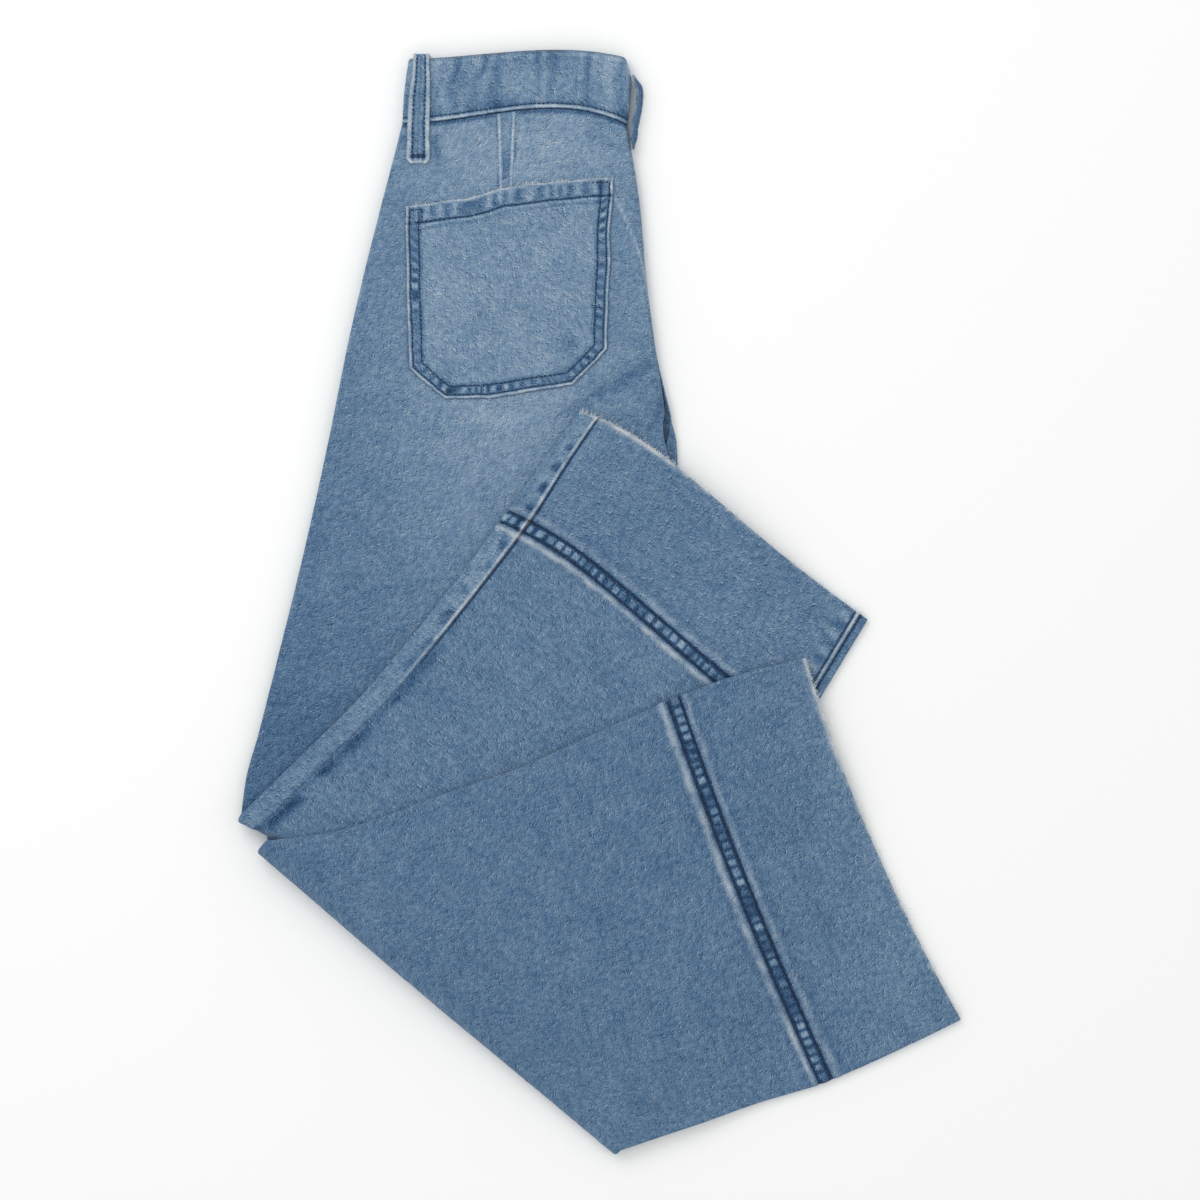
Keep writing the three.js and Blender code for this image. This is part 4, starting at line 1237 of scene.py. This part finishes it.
side_rows = [inset(POCKET_OUTLINE, d)[np.r_[5:len(POCKET_OUTLINE), 0]] for d in SIDE_STITCHES]
hem_line = inset(POCKET_OUTLINE, POCKET_HEM)[:6]
hem_line[0] += (-9.5, -0.6)
hem_line[-1] += (9.8, 0.8)
corner_left = np.array([(-141.0, 280.0), (-141.0, 290.2), (-131.6, 291.2), (-131.6, 280.5)])
corner_right = np.array([(6.8, 301.0), (7.0, 311.2), (-4.5, 310.6), (-7.5, 309.5)])
pocket_rows = [on_pocket(line, 20 + k) for k, line in enumerate(
    [*side_rows, hem_line, corner_left, corner_right])]
stitches.append(sew("stitches_pocket", pocket_rows))

band_row = int(np.argmin(np.abs(up[:, 60] - BAND_STITCH)))
band_path = np.concatenate([settle(band_face[band_row]), settle(band_face[band_row, :1])])
band_up = np.concatenate([out[band_row], out[band_row, :1]])


def across_loop(y, reach, seed):
    """A bar of close stitches across the left side loop."""
    x = np.linspace(-reach, reach, 9)
    plan = over_band(x, np.full(9, y), np.full(9, on_panel + LOOP_WALL / 2 + 0.35))
    origin, ahead, ups, size = stitch_row(settle(plan), np.tile([0.0, 0.0, 1.0], (9, 1)), 0, seed)
    return origin, ahead, ups, size * (1.0, 1.4, 1.2)


def down_loop(x, seed):
    marks = french_curve(upper_marks, np.linspace(0.35, 6.0, 60))
    plan = over_band(np.full(60, x), marks[:, 0], marks[:, 1] + LOOP_WALL / 2 - 0.1)
    return stitch_row(settle(plan), np.tile([0.0, 0.0, 1.0], (60, 1)), 0, seed)


stitches.append(sew("stitches_waist", [
    stitch_row(band_path, band_up, 0.3, 30), down_loop(-4.2, 31), down_loop(4.2, 32),
    across_loop(330.2, 5.0, 33), across_loop(331.2, 4.6, 34), across_loop(329.3, 4.8, 35)]))
print("stitches:", sum(len(o.data.vertices) // 17 for o in stitches))

# %% [markdown]
# ## Frayed edges
# The hems are cut raw, and so the white weft shows there as a fringe of short fibres. The pocket's
# upper edge is rubbed through in two places. Each fibre is a thin three-sided blade with one bend.

# %% Fibres


def fibre():
    """A thin bent blade from 0 to 1 along x."""
    rings = [(0.0, 0.0, 1.0), (0.45, 0.12, 0.8), (1.0, 0.0, 0.25)]
    points = [(x, bow + r * dy, r * dz) for x, bow, r in rings
              for dy, dz in ((0.07, -0.05), (-0.07, -0.05), (0.0, 0.09))]
    faces = [(0, 1, 2), (6, 8, 7)]
    for ring in (0, 3):
        for k in range(3):
            a, b = ring + k, ring + (k + 1) % 3
            faces += [(a, a + 3, b + 3), (a, b + 3, b)]
    return np.array(points, float), np.array(faces)


def fringe(name, path, away, up, count, length, thick, seed, where=None):
    """Fibres that grow from a path. where says how likely they are along it, from 0 to 1."""
    chance = np.random.default_rng(seed)
    along = lengths(path[:, None], 0)[:, 0]
    at = np.sort(chance.uniform(0, along[-1], count))
    if where is not None:
        at = at[chance.uniform(0, 1, count) < where(at)]
    pick = [np.stack([np.interp(at, along, field[:, k]) for k in range(3)], 1)
            for field in (path, away, up)]
    origin, out_dir, up_dir = pick
    tangent = np.cross(up_dir, out_dir)
    lean, rise = chance.normal(0, 0.9, (len(at), 1)), chance.normal(0.12, 0.2, (len(at), 1))
    ahead = out_dir + tangent * lean + up_dir * rise
    reach = length * chance.lognormal(0, 0.45, len(at))
    size = np.stack([reach, np.full(len(at), thick * 8), np.full(len(at), thick * 8)], 1)
    origin = origin - out_dir * chance.uniform(0.1, 1.0, (len(at), 1)) + up_dir * 0.15
    return copies(name, *fibre(), origin, ahead, up_dir, size)


def hem_fringe(name, grid, face, top_side, count, where, seed):
    shown = np.where(top_side(grid["r"][-1]))[0]
    shown = np.roll(shown, -int(np.argmax(np.diff(shown, prepend=shown[0] - 1))))
    path = settle((face[-1] * 0.6 + grid["inner"][-1] * 0.4)[shown])
    away = (face[-1] - face[-3])[shown]
    away /= np.linalg.norm(away, axis=1)[:, None]
    upward = outward(face[-1], grid["inner"][-1])[shown]
    return fringe(name, path, away, upward, count, 2.0, 0.27, seed, where)


frays = [
    hem_fringe("fray_hem_left", hem_left_grid, hem_left_face, lambda r: r <= 0, 1300,
               lambda s: 0.2 + 0.6 * patches(s, s * 0, 14.0, 131) ** 2 + 0.5 * smooth(175, 190, s)
               + 2 * bump(s, 204, 6), 41),
    hem_fringe("fray_hem_right", hem_right_grid, hem_right_face, lambda r: r >= 0, 900,
               lambda s: 0.35 + 0.6 * patches(s, s * 0, 14.0, 132) ** 2 + 0.6 * (s < 40), 42)]
top_plan = french_curve(POCKET_TOP_LINE, np.linspace(0.15, 5.9, 120))
top_path = settle(np.concatenate([hand_laid(top_plan), np.full((120, 1), TRUNK_TOP + GAP + 0.8)], 1))
ones = np.ones((120, 1))
frays.append(fringe(
    "fray_pocket", top_path, ones * (-0.2, 1.0, 0.0), ones * (0.0, 0.0, 1.0), 900, 1.9, 0.3, 43,
    lambda s: 0.12 + bump(s, 89, 4) + bump(s, 112, 5)))
print("fibres:", sum(len(o.data.vertices) // 9 for o in frays))

# %% [markdown]
# ## Denim
# Stone-washed stretch denim is an indigo warp over a white weft in a twill. Washing and sanding bare
# the white core of the threads, so the cloth reads as a grainy mid blue with pale fibres lying in
# all directions, paler wherever it was rubbed. The pattern follows each panel's own weave map, in
# millimetres, so the grain turns with the cloth. A real thread is 0.5 mm, too fine to show, so the
# grain is drawn about twice as coarse.

# %% Node and colour helpers


def linear(hex_code):
    """An sRGB hex colour as linear RGBA."""
    parts = [int(hex_code[k:k + 2], 16) / 255 for k in (1, 3, 5)]
    return (*[c / 12.92 if c <= 0.04045 else ((c + 0.055) / 1.055) ** 2.4 for c in parts], 1.0)


def node(tree, kind, inputs=None, out=0, **settings):
    """Adds a node and gives one of its outputs. Each input is a value, or a socket to link from."""
    made = tree.nodes.new("ShaderNode" + kind)
    for key, value in settings.items():
        setattr(made, key, value)
    for key, value in (inputs or {}).items():
        if isinstance(value, bpy.types.NodeSocket):
            tree.links.new(value, made.inputs[key])
        else:
            made.inputs[key].default_value = value
    return made.outputs[out] if made.outputs else made


def new_material(name):
    material = bpy.data.materials.new(name)
    material.use_nodes = True
    material.node_tree.nodes.clear()
    return material, material.node_tree


print("mid blue:", [round(c, 3) for c in linear("#5d7891")])

# %% [markdown]
# Two patterns make the grain. The fibres are short curly strokes: each follows the line where a soft
# noise crosses its middle value, and a second noise keeps it only here and there. The dye runs
# through a ramp from deep indigo to the pale core.

# %% Fibres and dye
GRAIN_MM, MOTTLE_MM, FIBRE_MM, TWILL_MM, CLOUD_MM, STREAK_MM = 1.2, 4.5, 5.0, 1.7, 17.0, 1.3
INDIGO_TO_PALE = [  # tone, colour
    (-1.4, "#132941"), (-0.8, "#204163"), (-0.35, "#395b7f"), (0.0, "#4b6b8c"), (0.5, "#66839f"),
    (1.0, "#839bb2"), (1.5, "#a3b4c1"), (2.1, "#c8cfd3"),
]
LOWEST_TONE, HIGHEST_TONE = INDIGO_TO_PALE[0][0], INDIGO_TO_PALE[-1][0]


def curls(tree, place_mm, size, shift, thin, keep):
    """Curly strokes about size long, thin as a part of the noise's range, kept above keep."""
    moved = node(tree, "VectorMath", {0: place_mm, 1: (*shift, 0)}, operation="ADD")
    field = node(tree, "TexNoise", {"Vector": moved, "Scale": 1 / size, "Detail": 1.5,
                                    "Distortion": 1.4})
    off = node(tree, "Math", {0: field, 1: 0.5}, operation="SUBTRACT")
    away = node(tree, "Math", {0: off}, operation="ABSOLUTE")
    stroke = node(tree, "MapRange", {0: away, 1: 0.0, 2: thin, 3: 1.0, 4: 0.0})
    elsewhere = node(tree, "VectorMath", {0: place_mm, 1: (*shift[::-1], 0)}, operation="ADD")
    patch = node(tree, "TexNoise", {"Vector": elsewhere, "Scale": 1.25 / size, "Detail": 1.0})
    here = node(tree, "MapRange", {0: patch, 1: keep, 2: keep + 0.05, 3: 0.0, 4: 1.0})
    return node(tree, "Math", {0: stroke, 1: here}, operation="MULTIPLY")


def dye(tree, tone):
    """The colour of a tone."""
    span = node(tree, "MapRange", {0: tone, 1: LOWEST_TONE, 2: HIGHEST_TONE, 3: 0.0, 4: 1.0})
    colour = node(tree, "ValToRGB", {0: span})
    stops = colour.node.color_ramp.elements
    while len(stops) < len(INDIGO_TO_PALE):
        stops.new(0.5)
    for stop, (value, hex_code) in zip(stops, INDIGO_TO_PALE):
        stop.position = (value - LOWEST_TONE) / (HIGHEST_TONE - LOWEST_TONE)
        stop.color = linear(hex_code)
    return colour


print("dye from tone", LOWEST_TONE, "to", HIGHEST_TONE)

# %% [markdown]
# The cloth adds its patterns to the tone that each point brings. Grain and fibres also raise the
# surface a little, which gives the light something to catch.

# %% Stone-washed denim


def denim(name):
    material, tree = new_material(name)
    weave = node(tree, "UVMap", uv_map="weave")
    place_mm = node(tree, "VectorMath", {0: weave, 1: (1000, 1000, 1000)}, operation="MULTIPLY")
    grains = node(tree, "TexNoise", {"Vector": place_mm, "Scale": 1 / GRAIN_MM, "Detail": 3.0,
                                     "Roughness": 0.75})
    mottle = node(tree, "TexNoise", {"Vector": place_mm, "Scale": 1 / MOTTLE_MM, "Detail": 1.0})
    clouds = node(tree, "TexNoise", {"Vector": place_mm, "Scale": 1 / CLOUD_MM})
    warp = node(tree, "VectorMath", {0: place_mm, 1: (1, 0.1, 1)}, operation="MULTIPLY")
    streaks = node(tree, "TexNoise", {"Vector": warp, "Scale": 1 / STREAK_MM, "Detail": 1.0})
    twill = node(tree, "TexWave", {"Vector": place_mm, "Scale": 0.444 / TWILL_MM, "Distortion": 2.0,
                                   "Detail": 1.0}, out=1, bands_direction="DIAGONAL")
    pale = curls(tree, place_mm, FIBRE_MM, (31, 7), 0.04, 0.48)
    small_pale = curls(tree, place_mm, FIBRE_MM * 0.65, (83, 57), 0.044, 0.5)
    # Painted shadow: each pale fibre gets a dark copy of itself shifted about half a millimetre, so the
    # fibres look embossed.
    painted_fibre_shadow = curls(tree, place_mm, FIBRE_MM, (31.5, 7.6), 0.05, 0.48)
    small_painted_fibre_shadow = curls(tree, place_mm, FIBRE_MM * 0.65, (83.5, 57.5), 0.055, 0.52)
    tone = node(tree, "Attribute", out=2, attribute_name="tone")
    for field, middle, amount in (
            (grains, 0.5, 2.8), (mottle, 0.5, 1.15), (clouds, 0.5, 0.55), (streaks, 0.5, 0.5),
            (twill, 0.5, 0.1), (pale, 0.06, 1.1), (small_pale, 0.05, 0.8), (painted_fibre_shadow, 0.07, -0.9),
            (small_painted_fibre_shadow, 0.06, -0.7)):
        tone = node(tree, "Math", {0: field, 1: amount, 2: tone}, operation="MULTIPLY_ADD")
        tone = node(tree, "Math", {0: tone, 1: middle * amount}, operation="SUBTRACT")
    grit = node(tree, "Math", {0: grains, 1: 0.45}, operation="ADD")
    bare = node(tree, "Math", {0: node(tree, "Attribute", out=2, attribute_name="raw"), 1: grit},
                operation="MULTIPLY", use_clamp=True)
    colour = node(tree, "Mix", {0: bare, 6: dye(tree, tone), 7: linear("#cccfce")}, out=2,
                  data_type="RGBA")
    height = node(tree, "Math", {0: pale, 1: 1.0, 2: grains}, operation="MULTIPLY_ADD")
    height = node(tree, "Math", {0: small_pale, 1: 0.7, 2: height}, operation="MULTIPLY_ADD")
    relief = node(tree, "Bump", {"Strength": 0.55, "Distance": 0.0006, "Height": height})
    rough = node(tree, "MapRange", {0: grains, 1: 0.3, 2: 0.7, 3: 0.95, 4: 0.8})
    shader = node(tree, "BsdfPrincipled", {
        "Base Color": colour, "Roughness": rough, "Normal": relief, "IOR": 1.5,
        "Specular IOR Level": 0.2, "Sheen Weight": 0.12, "Sheen Roughness": 0.5})
    node(tree, "OutputMaterial", {0: shader})
    return material


denim_cloth = denim("stone_washed_denim")
print("denim nodes:", len(denim_cloth.node_tree.nodes))

# %% [markdown]
# ## Thread and bare cotton
# The jeans are sewn with navy core-spun thread, which the wash leaves nearly black against the cloth.
# The frayed fibres are the undyed white of the weft.

# %% Thread and fibre finishes


def plain_yarn(name, dark, light, size_mm, roughness):
    """Twisted yarn: two shades in soft patches, and a slight relief."""
    material, tree = new_material(name)
    place = node(tree, "TexCoord", out=3)
    field = node(tree, "TexNoise", {"Vector": place, "Scale": 1000 / size_mm, "Detail": 2.0})
    shades = node(tree, "ValToRGB", {0: field})
    stops = shades.node.color_ramp.elements
    stops[0].position, stops[1].position = 0.35, 0.65
    stops[0].color, stops[1].color = linear(dark), linear(light)
    relief = node(tree, "Bump", {"Strength": 0.3, "Distance": 0.0001, "Height": field})
    shader = node(tree, "BsdfPrincipled", {
        "Base Color": shades, "Roughness": roughness, "Normal": relief, "IOR": 1.5,
        "Specular IOR Level": 0.25, "Sheen Weight": 0.1})
    node(tree, "OutputMaterial", {0: shader})
    return material


navy_thread = plain_yarn("navy_core_spun_thread", "#101d31", "#243b58", 2.2, 0.6)
bare_cotton = plain_yarn("bare_white_cotton", "#ccd8e2", "#f0f4f7", 3.0, 0.9)
print("finishes:", len(bpy.data.materials))

# %% [markdown]
# ## Putting the pieces in the frame
# Every piece rides on the one body, stands for its solid in the frame and takes a finish.

# %% Ride, stand in, finish
for obj in pieces.values():
    sewn = obj in stitches
    obj.data.materials.append(navy_thread if sewn else bare_cotton if obj in frays else denim_cloth)
    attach(obj, "root")
STANDS_FOR = {
    "back_left_cloth": "back_left", "back_right_cloth": "back_right",
    "front_left_cloth": "front_left", "front_right_cloth": "front_right",
    "hem_left_cloth": "hem_left", "hem_right_cloth": "hem_right", "waistband_cloth": "waistband",
    "pocket_left_cloth": "pocket_left", "pocket_right_cloth": "pocket_right",
    "belt_loop_left_cloth": "belt_loop_side_left", "belt_loop_right_cloth": "belt_loop_side_right",
    "belt_loop_back_cloth": "belt_loop_back", "hidden_layers_cloth": "hidden_layers",
}
for name, solid_name in STANDS_FOR.items():
    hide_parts(solid_name)
print("pieces:", len(pieces))

# %% [markdown]
# ## The cut of each piece
# A leg panel is wide and tapers a little.

# %% [markdown]
# ## Table, light and camera
# The jeans lie on a pale table under a soft, even sky of light, with one broad lamp to model the
# folds. The camera looks straight down through a long lens.

# %% Stage
TABLE = 3.0
bpy.ops.object.select_all(action="DESELECT")
bpy.ops.mesh.primitive_plane_add(size=2 * TABLE, location=(0, 0, -0.0004))
table = bpy.context.object
table.name = "table"
table_material, tree = new_material("white_paper_sweep")
shader = node(tree, "BsdfPrincipled", {"Base Color": linear("#fcfdfc"), "Roughness": 0.9,
                                       "Specular IOR Level": 0.1})
node(tree, "OutputMaterial", {0: shader})
table.data.materials.append(table_material)

world = bpy.data.worlds.new("soft_sky")
world.use_nodes = True
world.node_tree.nodes["Background"].inputs[0].default_value = (1.0, 1.0, 1.0, 1.0)
world.node_tree.nodes["Background"].inputs[1].default_value = 0.845
bpy.context.scene.world = world

lamp_data = bpy.data.lights.new("broad_lamp", "AREA")
lamp_data.shape, lamp_data.size, lamp_data.size_y, lamp_data.energy = "RECTANGLE", 1.6, 1.2, 13.0
lamp = bpy.data.objects.new("broad_lamp", lamp_data)
lamp.location = (-1.0, 1.3, 1.5)
bpy.context.scene.collection.objects.link(lamp)
lamp.rotation_euler = (-lamp.location).to_track_quat("-Z", "Y").to_euler()

VIEW_WIDTH, VIEW_MIDDLE, CAMERA_HEIGHT = 0.888, to_frame([0.0, 2.6, 0.0]), 4.0
camera_data = bpy.data.cameras.new("camera")
camera_data.sensor_width = 36.0
camera_data.lens = 36.0 * CAMERA_HEIGHT / VIEW_WIDTH
camera = bpy.data.objects.new("camera", camera_data)
camera.location = (VIEW_MIDDLE[0], VIEW_MIDDLE[1], CAMERA_HEIGHT)
bpy.context.scene.collection.objects.link(camera)
bpy.context.scene.camera = camera
bpy.context.scene.view_settings.view_transform = "Standard"
print("lens:", round(camera_data.lens), "mm")

# %% [markdown]
# The visual model may stand a little proud of the solids, as cloth does.

# %% Finish


print("triangles:", sum(len(p.vertices) - 2 for o in pieces.values() for p in o.data.polygons))
